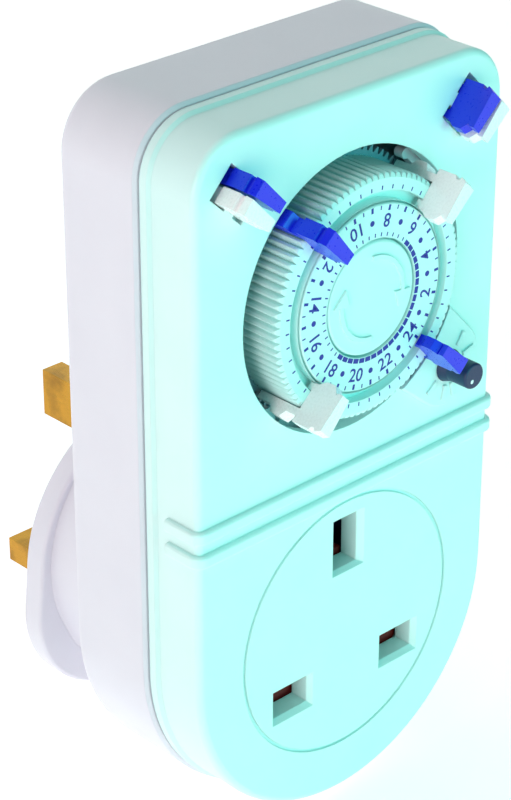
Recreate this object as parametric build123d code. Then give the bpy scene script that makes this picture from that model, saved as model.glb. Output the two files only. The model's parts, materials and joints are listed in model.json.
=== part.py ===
"""Plug-through 24 hour timer switch for 13 A outlets, one STEP file for each separate piece.

Frame: millimetres, origin at the centre of the plug face, +Y into the wall, +Z up, +X to the right of
somebody who looks at the dial. Angles on the dial are counted anticlockwise from +X, as that person sees it.
"""

import math
import os

from build123d import *

# --- case, all depths along Y ---------------------------------------------------------------------
FACE_Y = -45.3
PARTING_Y = -34.9
CASE_BACK_Y = -19.3
FACE_WALL = 2.2
BACK_WALL = 2.2
SIDE_WALL = 2.0
DIAL_SIDE_LAND = 11.5
DIAL_TOP_LAND = 11.45
DIAL_ABOVE_SOCKET = 33.45
TOP_CORNER_R = 8.0
COVER_EDGE_R = 1.1
LIP_OUT = 0.5
LIP_HEIGHT = 1.7
LIP_CHAMFER = 0.7
SEAM = (0.4, 0.8)
REAR_OUT = 1.0
REAR_CHAMFER = 0.5
REAR_EDGE_R = 1.5
RIDGE_Z = (26.2, 22.4)
RIDGE_WIDTH = 2.0
RIDGE_PROUD = 0.8
RIDGE_WRAP = 6.0
RIDGE_CORNER_R = 1.9
RIDGE_EDGE_R = 0.5

# --- dial -----------------------------------------------------------------------------------------
RIM_R = 18.0
OPENING_GAP = 3.0
SERRATIONS = 96
SERRATION_DEPTH = 0.85
RIM_PROUD = 3.2
RIM_SHOULDER_R = 0.8
SKIRT_WALL = 1.3
GROOVE_INSET = 4.0
GROOVE_WIDTH = 1.4
GROOVE_DEPTH = 1.6
DISC_GAP = 0.35
DISC_THICK = 1.5
DISC_PROUD = 0.2
DIAL_PLATE = 1.4
CAP_R = 8.4
CAP_GAP = 0.3
CAP_EDGE_R = 0.4
HUB_R = 4.0
SPINDLE_R = 2.0
CLIP_R = 3.4
CLIP_THICK = 0.55
ARROW_R = 6.0
ARROW_WIDTH = 0.7
ARROW_PROUD = 0.3
ARROW_HEAD = 1.5
ARROW_STARTS = (90.0, 270.0)
ARROW_SWEEP = 95.0

# --- tappets: clips that ride on the dial rim or are stored in the face ---------------------------
TAPPET_WEDGE = 7.0
TAPPET_TOP = 8.4
TAPPET_OUT = 2.2
TAPPET_LEG = 1.15
TAPPET_REACH = 7.5
TAPPET_BULGE = 0.8
TAPPET_LUG = 0.8
TAPPET_STEPS = ((0.5, 0.0), (0.0, 1.0), (0.5, 1.25), (0.5, 1.75), (0.0, 2.0))
TAPPET_LATCH = 0.15
TAPPET_LATCH_DEPTHS = ((True, 1.8), (False, 2.4), (False, 4.1), (True, 4.9))
TAPPET_NOSE = ((0.0, -0.6), (-TAPPET_BULGE, -1.7), (-TAPPET_BULGE, -3.2), (0.3, -4.1), (0.0, -4.4))
DIAL_TAPPET_ANGLES = {"a": 132.0, "b": 315.8, "c": 45.8, "d": 225.8}
PARK_LAND = 10.25
PARK_MARGIN = 0.9
PARK_SPREAD = 1.4
PARK_ANGLES = (45.0, 136.6)
WELL_WALL = 1.2

# --- override knob --------------------------------------------------------------------------------
KNOB_FROM_RIM = 8.3
KNOB_ANGLE = -43.1
KNOB_R = 2.0
KNOB_PROUD = 6.0
KNOB_FLARE_R = 2.5
KNOB_BOSS_R = 6.6
KNOB_BOSS_SPREAD = 17.7
KNOB_BOSS_PROUD = 0.8
KNOB_BOSS_EDGE = 0.3
KNOB_BAR = (2.3, 0.7)
CAM_RELIEF = 2.0
CAM_SKIN = 0.3
KNOB_BAR_ANGLES = (217.0, 258.0, 283.0, 15.0, 56.0)
CAM_CORE_R = 3.0
CAM_LOBE = 2.6
CAM_LOBE_R = 1.7
CAM_ANGLE = 225.0
KNOB_EDGE_R = 0.35
KNOB_FLARE = 1.4
KNOB_SLEEVE = 0.6
KNOB_TAIL = 0.5
KNOB_DOT_FROM_MIDDLE, KNOB_DOT_ANGLE = 0.85, 240.0
KNOB_DOT_R, KNOB_DOT_DEPTH = 0.35, 0.3

# --- plug and its pins, to BS 1363 ----------------------------------------------------------------
EARTH_Z = 13.6
LIVE_X, LIVE_Z = 11.1, -8.6
EARTH_PIN = (4.0, 8.0, 22.7)
LIVE_PIN = (6.35, 4.0, 17.7)
PIN_TIP = 0.9
PIN_ROOT_R = 1.6
PIN_SINK = 2.0
PLUG_RIM = 4.0
PLUG_END_WALL = 4.0
PLUG_WALL = 2.2
PLUG_EDGE_R = 0.6
PLUG_LOW_Z, PLUG_LOW_R = -1.9, 24.2
NECK_LOW_Z, NECK_LOW_R = -0.9, 22.5
SHOULDER_X, SHOULDER_Z = 9.0, -9.0
SHOULDER_R, NECK_SHOULDER_R = 16.0, 11.0

# --- socket in the face ---------------------------------------------------------------------------
SOCKET_GROOVE_R = 20.6
SOCKET_GROOVE = (0.5, 0.35)
EARTH_MOUTH, EARTH_THROAT = (6.5, 9.4), (4.8, 8.6)
LIVE_MOUTH, LIVE_THROAT = (8.2, 5.9), (7.1, 4.7)
MOUTH_DEPTH = 0.9
SHROUD_DEPTH = 3.9
SHROUD_WALL = 1.3

# --- safety shutter -------------------------------------------------------------------------------
SHUTTER_GAP = 0.4
SHUTTER_THICK = 2.5
SHUTTER_TRAVEL = 7.5
SHUTTER_BAR = (14.9, 6.0)
SHUTTER_STEM = 5.0
SHUTTER_CORNER_R = 1.2
STEM_LAP = 0.8
RAMP_WIDTH = 4.4
RAMP_LIFT = 0.1
SPRING_R = 1.2
SPRING_WIRE_R = 0.22
SPRING_TURNS = 6
SPRING_LENGTH = 11.4
SPRING_PEG = 1.2
SPRING_PEG_GAP = 0.15

# --- socket block and contacts --------------------------------------------------------------------
BLOCK_WALL = 0.8
BLOCK_FRONT_GAP = 0.5
BLOCK_PAD = 1.5
BLOCK_PAD_R = 2.5
FOOT_WIDTH = 6.0
RAIL = (2.0, 5.0)
POCKET_GAP = 0.3
STRIP = 0.8
LEAF_GAP = 0.05
EARTH_LEAF_SINK = 5.2
LIVE_LEAF_SINK = 0.6
PIN_END_GAP = 1.6
STRAP_WIDTH = 3.0
STRAP_CLEARANCE = 1.2
RIVET_R, RIVET_THICK = 1.95, 0.7

# --- clockwork ------------------------------------------------------------------------------------
PLATE_THICK = 1.5
PLATE_ABOVE_BLOCK = 3.5
GEAR_OUT = 1.2
LAYER_GAP = 0.4
PRESSURE_ANGLE = math.radians(20.0)
TOOTH_THINNING = 0.06
MESH_SLACK = 0.03
DIAL_TEETH = 96
PINION_TEETH = 16
SECOND_TEETH = 40
FIRST_TEETH = 32
DIAL_GEAR_THICK = 1.4
SECOND_ANGLE, FIRST_ANGLE, MOTOR_ANGLE = 270.0, 150.0, 90.0
WHEEL_THICK = 1.0
ARBOR_R = 0.8
ARBOR_CLIP = 0.4
SHAFT_DEPTH = 3.0
SHAFT_SPACE = 0.5
MOTOR_R = 14.0
MOTOR_BACK_GAP = 1.4
MOTOR_SHIFT = (0.7, 11.15)
MOTOR_EAR_OUT = 3.0
MOTOR_EAR_ANGLE = 120.0
MOTOR_EAR_R = 2.4
MOTOR_EAR_THICK = 1.0
MOTOR_EAR_ROOT_R = 5.0
MOTOR_EDGE_R = 1.2

# --- switch ---------------------------------------------------------------------------------------
SWITCH_SIZE = (6.0, 6.3, 12.0)
SWITCH_WALL_GAP = 0.3
SWITCH_BELOW_DIAL = 12.55
SWITCH_SCREW_RISE = (1.6, 8.0)
SWITCH_SCREW_SHIFT = 1.0
SWITCH_HEAD = (1.7, 0.8)
TERMINAL_SPACING = 6.4
TERMINAL_PROUD = 4.0
TERMINAL_SLOT_GAP = 0.3
BUTTON = (1.6, 1.8, 1.2)
BUTTON_SUNK = 1.2
BUTTON_SLOT = 2.0
BUTTON_SHIFT = 0.8
LEVER_FROM_LEG = 3.0
LEVER_ANGLE = 15.47
LEVER_PIN_R = 1.0
LEVER_HUB_R = 2.2
LEVER_ARM_GAP, LEVER_ARM = 0.7, 1.9
LEVER_NOSE_R = 0.8
LEVER_NOSE_ANGLE = 50.0
LEVER_BLADE = 1.6
LEVER_PAD = (1.6, 1.6)
LEVER_TAIL = 1.8
LEVER_TAIL_ROOT = ((0.886, 253.6), (0.814, 47.5))
LEVER_PIN_PROUD = 0.4

# --- leads ----------------------------------------------------------------------------------------
LEAD_R = 0.6
LEAD_RISE = 7.0
LIVE_LEAD_ANGLE, NEUTRAL_LEAD_ANGLE = -59.7, -99.5

# --- fasteners and fits ---------------------------------------------------------------------------
CASE_SCREW_ABOVE_DIAL = 12.0
CASE_SCREW_LOW_ANGLE = 40.0
CASE_POST_R = 2.6
CASE_SCREW_R = 1.35
CASE_HEAD = (2.0, 1.6)
CASE_SINK = 3.0
PLATE_SCREW_INSET = 5.2
PLATE_SCREW_LOW_INSET = 7.0
PLATE_SCREW_GRIP = 4.5
PLATE_POST_R = 2.4
SMALL_SCREW_R = 1.0
SMALL_HEAD = (1.9, 1.0)
RUNNING_GAP = 0.05
SEAT_GAP = 0.1
FREE_GAP = 0.35
CUT_OVERRUN = 2.0

# --- planes, places and sizes that follow from the above ------------------------------------------
FACE_INSIDE_Y = FACE_Y + FACE_WALL
BACK_INSIDE_Y = CASE_BACK_Y - BACK_WALL
LIP_FRONT_Y = PARTING_Y - LIP_HEIGHT
DIAL_Z = SOCKET_GROOVE_R + DIAL_ABOVE_SOCKET
COVER_HALF_WIDTH = RIM_R + DIAL_SIDE_LAND
COVER_TOP_Z = DIAL_Z + RIM_R + DIAL_TOP_LAND
OPENING_R = RIM_R + OPENING_GAP
GROOVE_R = (RIM_R - GROOVE_INSET, RIM_R - GROOVE_INSET + GROOVE_WIDTH)
DISC_R = (CAP_R + CAP_GAP, GROOVE_R[0] - DISC_GAP)
TAPPET_R = (GROOVE_R[0], RIM_R + TAPPET_OUT)
RIM_TOP_Y = FACE_Y - RIM_PROUD
DISC_TOP_Y = RIM_TOP_Y - DISC_PROUD
DISC_BACK_Y = DISC_TOP_Y + DISC_THICK
DIAL_PLATE_BACK_Y = DISC_BACK_Y + DIAL_PLATE
GROOVE_FLOOR_Y = RIM_TOP_Y + GROOVE_DEPTH
LEG_R = (RIM_R + 3 * RUNNING_GAP, RIM_R + 3 * RUNNING_GAP + TAPPET_LEG)
LEG_END_Y = RIM_TOP_Y + TAPPET_REACH
PARK_OUT = OPENING_R + PARK_LAND - LEG_R[0]
MODULE = 2 * (RIM_R + GEAR_OUT) / DIAL_TEETH
DIAL_GEAR_FRONT_Y = LEG_END_Y + 1.0
DIAL_GEAR_BACK_Y = DIAL_GEAR_FRONT_Y + DIAL_GEAR_THICK
PLATE_FRONT_Y = DIAL_GEAR_BACK_Y + 2 * WHEEL_THICK + 3 * LAYER_GAP
PLATE_BACK_Y = PLATE_FRONT_Y + PLATE_THICK
MOTOR_DEPTH = BACK_INSIDE_Y - MOTOR_BACK_GAP - PLATE_BACK_Y
SHUTTER_FRONT_Y = FACE_Y + SHROUD_DEPTH + SHUTTER_GAP
SHUTTER_BACK_Y = SHUTTER_FRONT_Y + SHUTTER_THICK
SHUTTER_MID_Y = (SHUTTER_FRONT_Y + SHUTTER_BACK_Y) / 2
SPRING_FOOT_Z = LIVE_Z - SHUTTER_BAR[1] / 2 - SPRING_LENGTH
BLOCK_FRONT_Y = SHUTTER_BACK_Y + BLOCK_FRONT_GAP
BLOCK_BACK_Y = BACK_INSIDE_Y - BLOCK_PAD
EARTH_SPAN = EARTH_PIN[0] + 2 * (LEAF_GAP + STRIP + SEAT_GAP)
LIVE_SPAN = LIVE_PIN[1] + 2 * (LEAF_GAP + STRIP + SEAT_GAP)
BLOCK_R = BLOCK_WALL + math.hypot(LIVE_X + LIVE_PIN[0] / 2 + POCKET_GAP, LIVE_Z - LIVE_SPAN / 2)
EARTH_LEAF_Y = BLOCK_FRONT_Y + EARTH_LEAF_SINK
LIVE_LEAF_Y = BLOCK_FRONT_Y + LIVE_LEAF_SINK
LINE_BASE_Y = FACE_Y + LIVE_PIN[2] + PIN_END_GAP
PLATE_LOW_Z = BLOCK_R + PLATE_ABOVE_BLOCK
SWITCH_X = COVER_HALF_WIDTH - SIDE_WALL - SWITCH_WALL_GAP - SWITCH_SIZE[0] / 2
SWITCH_LOW_Z = DIAL_Z - SWITCH_BELOW_DIAL
BUTTON_X = SWITCH_X + BUTTON_SHIFT
LEVER_ARM_R = (LEG_R[1] + LEVER_ARM_GAP, LEG_R[1] + LEVER_ARM_GAP + LEVER_ARM)
BIG = 200.0


def polar(radius, angle, x=0.0, z=DIAL_Z):
    """Point at a radius and an anticlockwise angle in degrees around the dial or another centre."""
    turn = math.radians(angle)
    return x + radius * math.cos(turn), z + radius * math.sin(turn)


KNOB_X, KNOB_Z = polar(RIM_R + KNOB_FROM_RIM, KNOB_ANGLE)
LEVER_X, LEVER_Z = polar(LEG_R[1] + LEVER_FROM_LEG, LEVER_ANGLE)


def both_sides(x, z):
    """The same place left and right of the middle."""
    return ((-x, z), (x, z))


CASE_POST_X = COVER_HALF_WIDTH - SIDE_WALL - CASE_POST_R + FREE_GAP
CASE_SCREWS = (both_sides(CASE_POST_X, DIAL_Z + CASE_SCREW_ABOVE_DIAL)
               + both_sides(*polar(CASE_POST_X, -CASE_SCREW_LOW_ANGLE, 0, 0)))
PLATE_SCREWS = (((0.0, COVER_TOP_Z - PLATE_SCREW_INSET), (PLATE_SCREW_INSET - COVER_HALF_WIDTH, DIAL_Z - 4.0))
                + both_sides(COVER_HALF_WIDTH - PLATE_SCREW_LOW_INSET, PLATE_LOW_Z + PLATE_ABOVE_BLOCK))


# --- helpers --------------------------------------------------------------------------------------
def front(y):
    """Plane parallel to the face at depth y, whose local x and y are X and Z, and which looks outward."""
    return Plane(origin=(0, y, 0), x_dir=(1, 0, 0), z_dir=(0, -1, 0))


def slab(sketch, back_y, front_y):
    """Sketch in X and Z, given thickness from the deeper plane back_y to the nearer plane front_y."""
    return extrude(front(back_y) * sketch, amount=back_y - front_y)


def rod(x, z, radius, back_y, front_y):
    """Round bar along Y."""
    return slab(Pos(x, z) * Circle(radius), back_y, front_y)


def tube(x, z, outer_r, inner_r, back_y, front_y):
    """Round bar along Y with a bore."""
    return slab(Pos(x, z) * (Circle(outer_r) - Circle(inner_r)), back_y, front_y)


def bar(x, z, width, height, back_y, front_y):
    """Rectangular bar along Y, centred at x and z."""
    return slab(Pos(x, z) * Rectangle(width, height), back_y, front_y)


def turned(shape, angle, x=0.0, z=DIAL_Z):
    """Shape turned anticlockwise, as seen from the front, around the line along Y at x and z."""
    return shape.rotate(Axis((x, 0, z), (0, -1, 0)), angle)


def dial_profile(points):
    """Ring around the dial axis, from the corners of its section as (radius, y)."""
    section = Plane(origin=(0, 0, DIAL_Z)) * make_face(Polyline(*points, close=True))
    return revolve(section, Axis((0, 0, DIAL_Z), (0, 1, 0)))


def ring_sector(inner_r, outer_r, start, sweep):
    """Sketch of a piece of a ring around the dial axis, its ends cut square to the ring."""
    steps = [start, start + sweep / 2, start + sweep]
    outer = [polar(outer_r, angle, 0, 0) for angle in steps]
    inner = [polar(inner_r, angle, 0, 0) for angle in steps]
    arcs = ThreePointArc(*outer) + ThreePointArc(*inner)
    ends = Line(outer[2], inner[2]) + Line(inner[0], outer[0])
    return Pos(0, DIAL_Z) * make_face(arcs + ends)


def screw(x, z, seat_y, tip_y, shank_r, head_r, head_thick, facing=1):
    """Pan-head screw along Y with a cross recess; facing 1 puts its head toward the wall, -1 the user."""
    head_y = seat_y + facing * head_thick
    back_y, front_y = max(seat_y, head_y), min(seat_y, head_y)
    head = rod(x, z, head_r, back_y, front_y)
    shank = rod(x, z, shank_r, max(seat_y, tip_y), min(seat_y, tip_y))
    floor_y = head_y - facing * head_thick / 2
    slot_back, slot_front = max(floor_y, head_y), min(floor_y, head_y)
    for width, height in ((head_r * 1.2, head_r * 0.3), (head_r * 0.3, head_r * 1.2)):
        head = head - bar(x, z, width, height, slot_back, slot_front)
    return head + shank


# --- case -----------------------------------------------------------------------------------------
def case_outline(grow):
    """The case from the front, grown outward: half a circle around the plug, round corners at the top."""
    half = COVER_HALF_WIDTH + grow
    top = COVER_TOP_Z + grow
    upper = Pos(0, top / 2) * Rectangle(2 * half, top)
    upper = fillet(upper.vertices().group_by(Axis.Y)[-1], TOP_CORNER_R + grow)
    return upper + Circle(half)


def face_rim(solid, side):
    """Edges around the outermost flat face along Y; side -1 is the front, 1 the back."""
    return solid.faces().sort_by(Axis.Y)[0 if side < 0 else -1].outer_wire().edges()


def ridge(z):
    """Raised bar across the face that wraps round both sides and ends in a round nose."""
    width = 2 * (COVER_HALF_WIDTH + RIDGE_PROUD)
    body = bar(0, z, width, RIDGE_WIDTH, FACE_Y + RIDGE_WRAP, FACE_Y - RIDGE_PROUD)
    upright = body.edges().filter_by(Axis.Z)
    body = fillet(upright.group_by(Axis.Y)[0], RIDGE_CORNER_R)
    outer = body.faces().sort_by(Axis.Y)[0].edges() + body.faces().filter_by(Axis.X).edges()
    long_edges = outer.filter_by(Axis.X) + outer.filter_by(Axis.Y)
    return fillet(long_edges, RIDGE_EDGE_R)


def park_places():
    """Angle and sideways shift of the four stored tappets, two in each pocket."""
    return [(angle, side * PARK_SPREAD) for angle in PARK_ANGLES for side in (1, -1)]


def pocket_bar(angle, inner_r, outer_r, width, back_y, front_y):
    """Bar that lies radially to the dial, for the pockets of the stored tappets."""
    length = outer_r - inner_r
    return turned(bar((inner_r + outer_r) / 2, DIAL_Z, length, width, back_y, front_y), angle)


def pocket_sizes():
    """Width of a pocket and the radii where its leg slot starts and ends."""
    half = PARK_SPREAD + TAPPET_R[1] * math.tan(math.radians(TAPPET_WEDGE / 2)) + 3 * RUNNING_GAP
    return 2 * half, LEG_R[0] + PARK_OUT - FREE_GAP, TAPPET_R[1] + PARK_OUT + PARK_MARGIN


def mouth(x, z, mouth_size, throat_size):
    """Cut for one aperture of the socket: a funnel, then a straight throat."""
    funnel = loft([front(FACE_Y) * Pos(x, z) * Rectangle(*mouth_size),
                   front(FACE_Y + MOUTH_DEPTH) * Pos(x, z) * Rectangle(*throat_size)])
    return funnel + bar(x, z, *throat_size, SHUTTER_FRONT_Y, FACE_Y + MOUTH_DEPTH)


def socket_mouths():
    """Place and sizes of the three apertures."""
    return ((0, EARTH_Z, EARTH_MOUTH, EARTH_THROAT),
            (LIVE_X, LIVE_Z, LIVE_MOUTH, LIVE_THROAT),
            (-LIVE_X, LIVE_Z, LIVE_MOUTH, LIVE_THROAT))


def knob_boss():
    """Low boss around the override knob, which widens toward the dial, with its position bars."""
    outline = Pos(KNOB_X, KNOB_Z) * Circle(KNOB_BOSS_R)
    for side in (-1, 1):
        outline += Pos(*polar(OPENING_R - 1.0, KNOB_ANGLE + side * KNOB_BOSS_SPREAD)) * Circle(1.0)
    boss = slab(make_hull(outline.edges()), FACE_Y, FACE_Y - KNOB_BOSS_PROUD)
    boss = chamfer(face_rim(boss, -1), KNOB_BOSS_EDGE)
    for angle in KNOB_BAR_ANGLES:
        x, z = polar(KNOB_BOSS_R * 0.65, angle, KNOB_X, KNOB_Z)
        mark = bar(x, z, *KNOB_BAR, FACE_Y, FACE_Y - KNOB_BOSS_PROUD - KNOB_BOSS_EDGE)
        boss = boss + turned(mark, angle, x, z)
    return boss


def cam_relief():
    """Room under the boss, open to the dial, where the cam of the knob works."""
    sector = ring_sector(OPENING_R - 1.0, OPENING_R + CAM_RELIEF, KNOB_ANGLE - 14.0, 28.0)
    return slab(sector, FACE_INSIDE_Y, FACE_Y - KNOB_BOSS_PROUD + CAM_SKIN)


def front_cover():
    """Front half of the case with the dial opening, the socket and the tappet pockets."""
    skin = slab(case_outline(0), PARTING_Y, FACE_Y)
    skin = fillet(face_rim(skin, -1), COVER_EDGE_R)
    lip = slab(case_outline(LIP_OUT), PARTING_Y, LIP_FRONT_Y - LIP_CHAMFER)
    lip = chamfer(face_rim(lip, -1), LIP_CHAMFER)
    cover = skin + lip + knob_boss()
    for z in RIDGE_Z:
        cover = cover + ridge(z)
    cover = cover - slab(case_outline(-SIDE_WALL), PARTING_Y, FACE_INSIDE_Y)
    width, slot_in, slot_out = pocket_sizes()
    well_back = LEG_END_Y + RIM_PROUD + FREE_GAP
    for angle in PARK_ANGLES:
        cover = cover + pocket_bar(angle, slot_in - WELL_WALL, slot_out + WELL_WALL, width + 2 * WELL_WALL,
                                   well_back + WELL_WALL, FACE_INSIDE_Y)
    for x, z, _, throat in socket_mouths():
        wall = 2 * SHROUD_WALL
        cover = cover + bar(x, z, throat[0] + wall, throat[1] + wall, FACE_Y + SHROUD_DEPTH, FACE_INSIDE_Y)
    for x, z in CASE_SCREWS:
        cover = cover + rod(x, z, CASE_POST_R, PARTING_Y, FACE_INSIDE_Y)
    for x, z in PLATE_SCREWS:
        cover = cover + rod(x, z, PLATE_POST_R, PLATE_FRONT_Y, FACE_INSIDE_Y)
    cover = cover & slab(case_outline(2 * RIDGE_PROUD), PARTING_Y, FACE_Y - 2 * RIDGE_PROUD)
    return cover - front_cover_cuts(width, slot_in, slot_out, well_back)


def front_cover_cuts(width, slot_in, slot_out, well_back):
    """Everything that is cut out of the front cover after its walls and posts are there."""
    over_y = FACE_Y - KNOB_BOSS_PROUD * 3
    seam_width, seam_depth = SEAM
    seam = case_outline(LIP_OUT) - case_outline(LIP_OUT - seam_depth)
    cuts = [rod(0, DIAL_Z, OPENING_R, FACE_INSIDE_Y, over_y), slab(seam, PARTING_Y, PARTING_Y - seam_width)]
    cuts += [mouth(*place) for place in socket_mouths()] + [cam_relief()]
    groove_width, groove_depth = SOCKET_GROOVE
    cuts.append(tube(0, 0, SOCKET_GROOVE_R + groove_width, SOCKET_GROOVE_R, FACE_Y + groove_depth, FACE_Y))
    cuts.append(rod(KNOB_X, KNOB_Z, KNOB_R + RUNNING_GAP * 2, FACE_INSIDE_Y, over_y))
    lug_in = GROOVE_R[0] + PARK_OUT - FREE_GAP
    lug_out = GROOVE_R[1] + PARK_OUT + FREE_GAP
    for angle in PARK_ANGLES:
        cuts.append(pocket_bar(angle, slot_in, slot_out, width, well_back, FACE_Y))
        cuts.append(pocket_bar(angle, lug_in, lug_out, width, FACE_Y + TAPPET_LUG + FREE_GAP, FACE_Y))
    cuts += [rod(x, z, CASE_SCREW_R + RUNNING_GAP, PARTING_Y, FACE_INSIDE_Y) for x, z in CASE_SCREWS]
    cuts += [rod(x, z, SMALL_SCREW_R + RUNNING_GAP, PLATE_FRONT_Y, FACE_INSIDE_Y) for x, z in PLATE_SCREWS]
    return cuts


def rear_case():
    """Back half of the case, with posts for the case screws and holes for the roots of the pins."""
    skin = slab(case_outline(REAR_OUT), CASE_BACK_Y, PARTING_Y)
    skin = chamfer(face_rim(skin, -1), REAR_CHAMFER)
    skin = fillet(face_rim(skin, 1), REAR_EDGE_R)
    case = skin - slab(case_outline(REAR_OUT - SIDE_WALL), BACK_INSIDE_Y, PARTING_Y)
    for x, z in CASE_SCREWS:
        case = case + rod(x, z, CASE_POST_R, BACK_INSIDE_Y, PARTING_Y)
        case = case - rod(x, z, CASE_SCREW_R + RUNNING_GAP, CASE_BACK_Y, PARTING_Y)
        case = case - rod(x, z, CASE_HEAD[0] + SEAT_GAP, CASE_BACK_Y, CASE_BACK_Y - CASE_SINK)
    for x, z in pin_places():
        case = case - rod(x, z, PIN_ROOT_R + SEAT_GAP, CASE_BACK_Y, BACK_INSIDE_Y)
    for x, z in plug_screw_places():
        case = case - rod(x, z, SMALL_SCREW_R + RUNNING_GAP, CASE_BACK_Y, BACK_INSIDE_Y)
    return case


def case_screws():
    """Four long screws that go in from the back."""
    seat_y = CASE_BACK_Y - CASE_SINK
    tip_y = FACE_INSIDE_Y + 1.5
    return [screw(x, z, seat_y, tip_y, CASE_SCREW_R, *CASE_HEAD) for x, z in CASE_SCREWS]


# --- plug -----------------------------------------------------------------------------------------
def pin_places():
    """Centres of the earth, line and neutral pins and, in front of them, of the apertures."""
    return ((0, EARTH_Z), (LIVE_X, LIVE_Z), (-LIVE_X, LIVE_Z))


def plug_screw_places():
    """Two screws that hold the plug moulding to the case back from inside."""
    return ((-SHOULDER_X, 4.0), (SHOULDER_X, 4.0))


def plug_outline(low_z, low_r, shoulder_r, inset=0.0):
    """Plug from the front: a skin round a large circle below and two smaller ones at the shoulders."""
    low = Pos(0, low_z) * Circle(low_r - inset)
    left = Pos(-SHOULDER_X, SHOULDER_Z) * Circle(shoulder_r - inset)
    right = Pos(SHOULDER_X, SHOULDER_Z) * Circle(shoulder_r - inset)
    return make_hull((low + left + right).edges())


def plug_base():
    """Hollow plug moulding with a waist for the fingers and a rim against the wall."""
    rim = slab(plug_outline(PLUG_LOW_Z, PLUG_LOW_R, SHOULDER_R), 0, -PLUG_RIM)
    rim = fillet(face_rim(rim, -1) + face_rim(rim, 1), PLUG_EDGE_R)
    neck = slab(plug_outline(NECK_LOW_Z, NECK_LOW_R, NECK_SHOULDER_R), -PLUG_RIM, CASE_BACK_Y)
    inside = plug_outline(NECK_LOW_Z, NECK_LOW_R, NECK_SHOULDER_R, PLUG_WALL)
    hollow = slab(inside, -PLUG_END_WALL, CASE_BACK_Y)
    base = rim + neck - hollow
    for x, z in plug_screw_places():
        base = base + rod(x, z, PLATE_POST_R, -PLUG_END_WALL, CASE_BACK_Y)
        base = base - rod(x, z, SMALL_SCREW_R + RUNNING_GAP, -PLUG_END_WALL - 2, CASE_BACK_Y)
    for (x, z), size in zip(pin_places(), (EARTH_PIN, LIVE_PIN, LIVE_PIN)):
        base = base - rod(x, z, PIN_ROOT_R + RUNNING_GAP, 0, -PLUG_END_WALL)
        base = base - bar(x, z, size[0] + 2 * RUNNING_GAP, size[1] + 2 * RUNNING_GAP, 0, -PIN_SINK)
    return base


def plug_screws():
    """Screws from inside the case into the plug moulding."""
    seat_y = BACK_INSIDE_Y
    tip_y = -PLUG_END_WALL - 3
    return [screw(x, z, seat_y, tip_y, SMALL_SCREW_R, *SMALL_HEAD, facing=-1) for x, z in plug_screw_places()]


def pin(x, z, size, root_end_y):
    """Brass pin with a rounded tip and a round root that runs into the case."""
    width, height, length = size
    blade = bar(x, z, width, height, length, -PIN_SINK)
    tip = blade.faces().sort_by(Axis.Y)[-1].edges()
    blade = chamfer(tip, PIN_TIP)
    return blade + rod(x, z, PIN_ROOT_R, -PIN_SINK, root_end_y)


def rivet_y():
    """Depth of the contact bases on the case back, where the pin roots end."""
    return BACK_INSIDE_Y - STRIP


def pin_rivets():
    """Turned-over heads that clamp the strips to the pin roots."""
    return [rod(x, z, RIVET_R, rivet_y(), rivet_y() - RIVET_THICK) for x, z in pin_places()]


# --- socket ---------------------------------------------------------------------------------------
def contact(x, z, pin_size, base_y, leaf_y, tall, root_hole):
    """Two spring leaves on a base, which grip the sides of a pin; tall leaves stand left and right of it."""
    gap = min(pin_size[0], pin_size[1]) / 2 + LEAF_GAP
    width = max(pin_size[0], pin_size[1]) - 1.0
    span = 2 * (gap + STRIP)
    base_size = (span, width) if tall else (width, span)
    leaf_size = (STRIP, width) if tall else (width, STRIP)
    clip = bar(x, z, *base_size, base_y, base_y - STRIP)
    for side in (-1, 1):
        shift = side * (gap + STRIP / 2)
        leaf_x, leaf_z = (x + shift, z) if tall else (x, z + shift)
        clip = clip + bar(leaf_x, leaf_z, *leaf_size, base_y, leaf_y)
    return clip - rod(x, z, PIN_ROOT_R + RUNNING_GAP, base_y, base_y - STRIP) if root_hole else clip


def earth_contact():
    """Earth spring contact on the root of the earth pin."""
    return contact(0, EARTH_Z, EARTH_PIN, BACK_INSIDE_Y, EARTH_LEAF_Y, True, True)


def neutral_contact():
    """Neutral spring contact on the root of the neutral pin."""
    return contact(-LIVE_X, LIVE_Z, LIVE_PIN, BACK_INSIDE_Y, LIVE_LEAF_Y, False, True)


def line_contact():
    """Switched line contact, clear of the line pin, with a tail toward the side of the case."""
    clip = contact(LIVE_X, LIVE_Z, LIVE_PIN, LINE_BASE_Y, LIVE_LEAF_Y, False, False)
    tail_end = strap_x() + STRAP_WIDTH / 2
    width = tail_end - LIVE_X
    return clip + bar(LIVE_X + width / 2, LIVE_Z, width, STRAP_WIDTH, LINE_BASE_Y, LINE_BASE_Y - STRIP)


def strap_x():
    """Middle of both upright straps, which pass the socket block on their way to the switch."""
    return BLOCK_R + STRAP_WIDTH / 2 + STRAP_CLEARANCE


def terminal_z():
    """Heights of the two microswitch terminals."""
    middle = SWITCH_LOW_Z + SWITCH_SIZE[2] / 2
    return middle - TERMINAL_SPACING / 2, middle + TERMINAL_SPACING / 2


def line_strap_in():
    """Strip from the line pin up to the upper microswitch terminal."""
    x = strap_x()
    high_z = terminal_z()[1] - STRIP
    back_y = BACK_INSIDE_Y
    foot = bar((LIVE_X + x) / 2, LIVE_Z, x - LIVE_X + STRAP_WIDTH, STRAP_WIDTH, back_y, back_y - STRIP)
    foot = foot + rod(LIVE_X, LIVE_Z, RIVET_R + 1.0, back_y, back_y - STRIP)
    foot = foot - rod(LIVE_X, LIVE_Z, PIN_ROOT_R + RUNNING_GAP, back_y, back_y - STRIP)
    upright = bar(x, (LIVE_Z + high_z) / 2, STRAP_WIDTH, high_z - LIVE_Z + STRIP, back_y, back_y - STRIP)
    rise = bar(x, high_z, STRAP_WIDTH, STRIP, back_y, PLATE_BACK_Y + SEAT_GAP + STRIP)
    return foot + upright + rise


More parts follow.
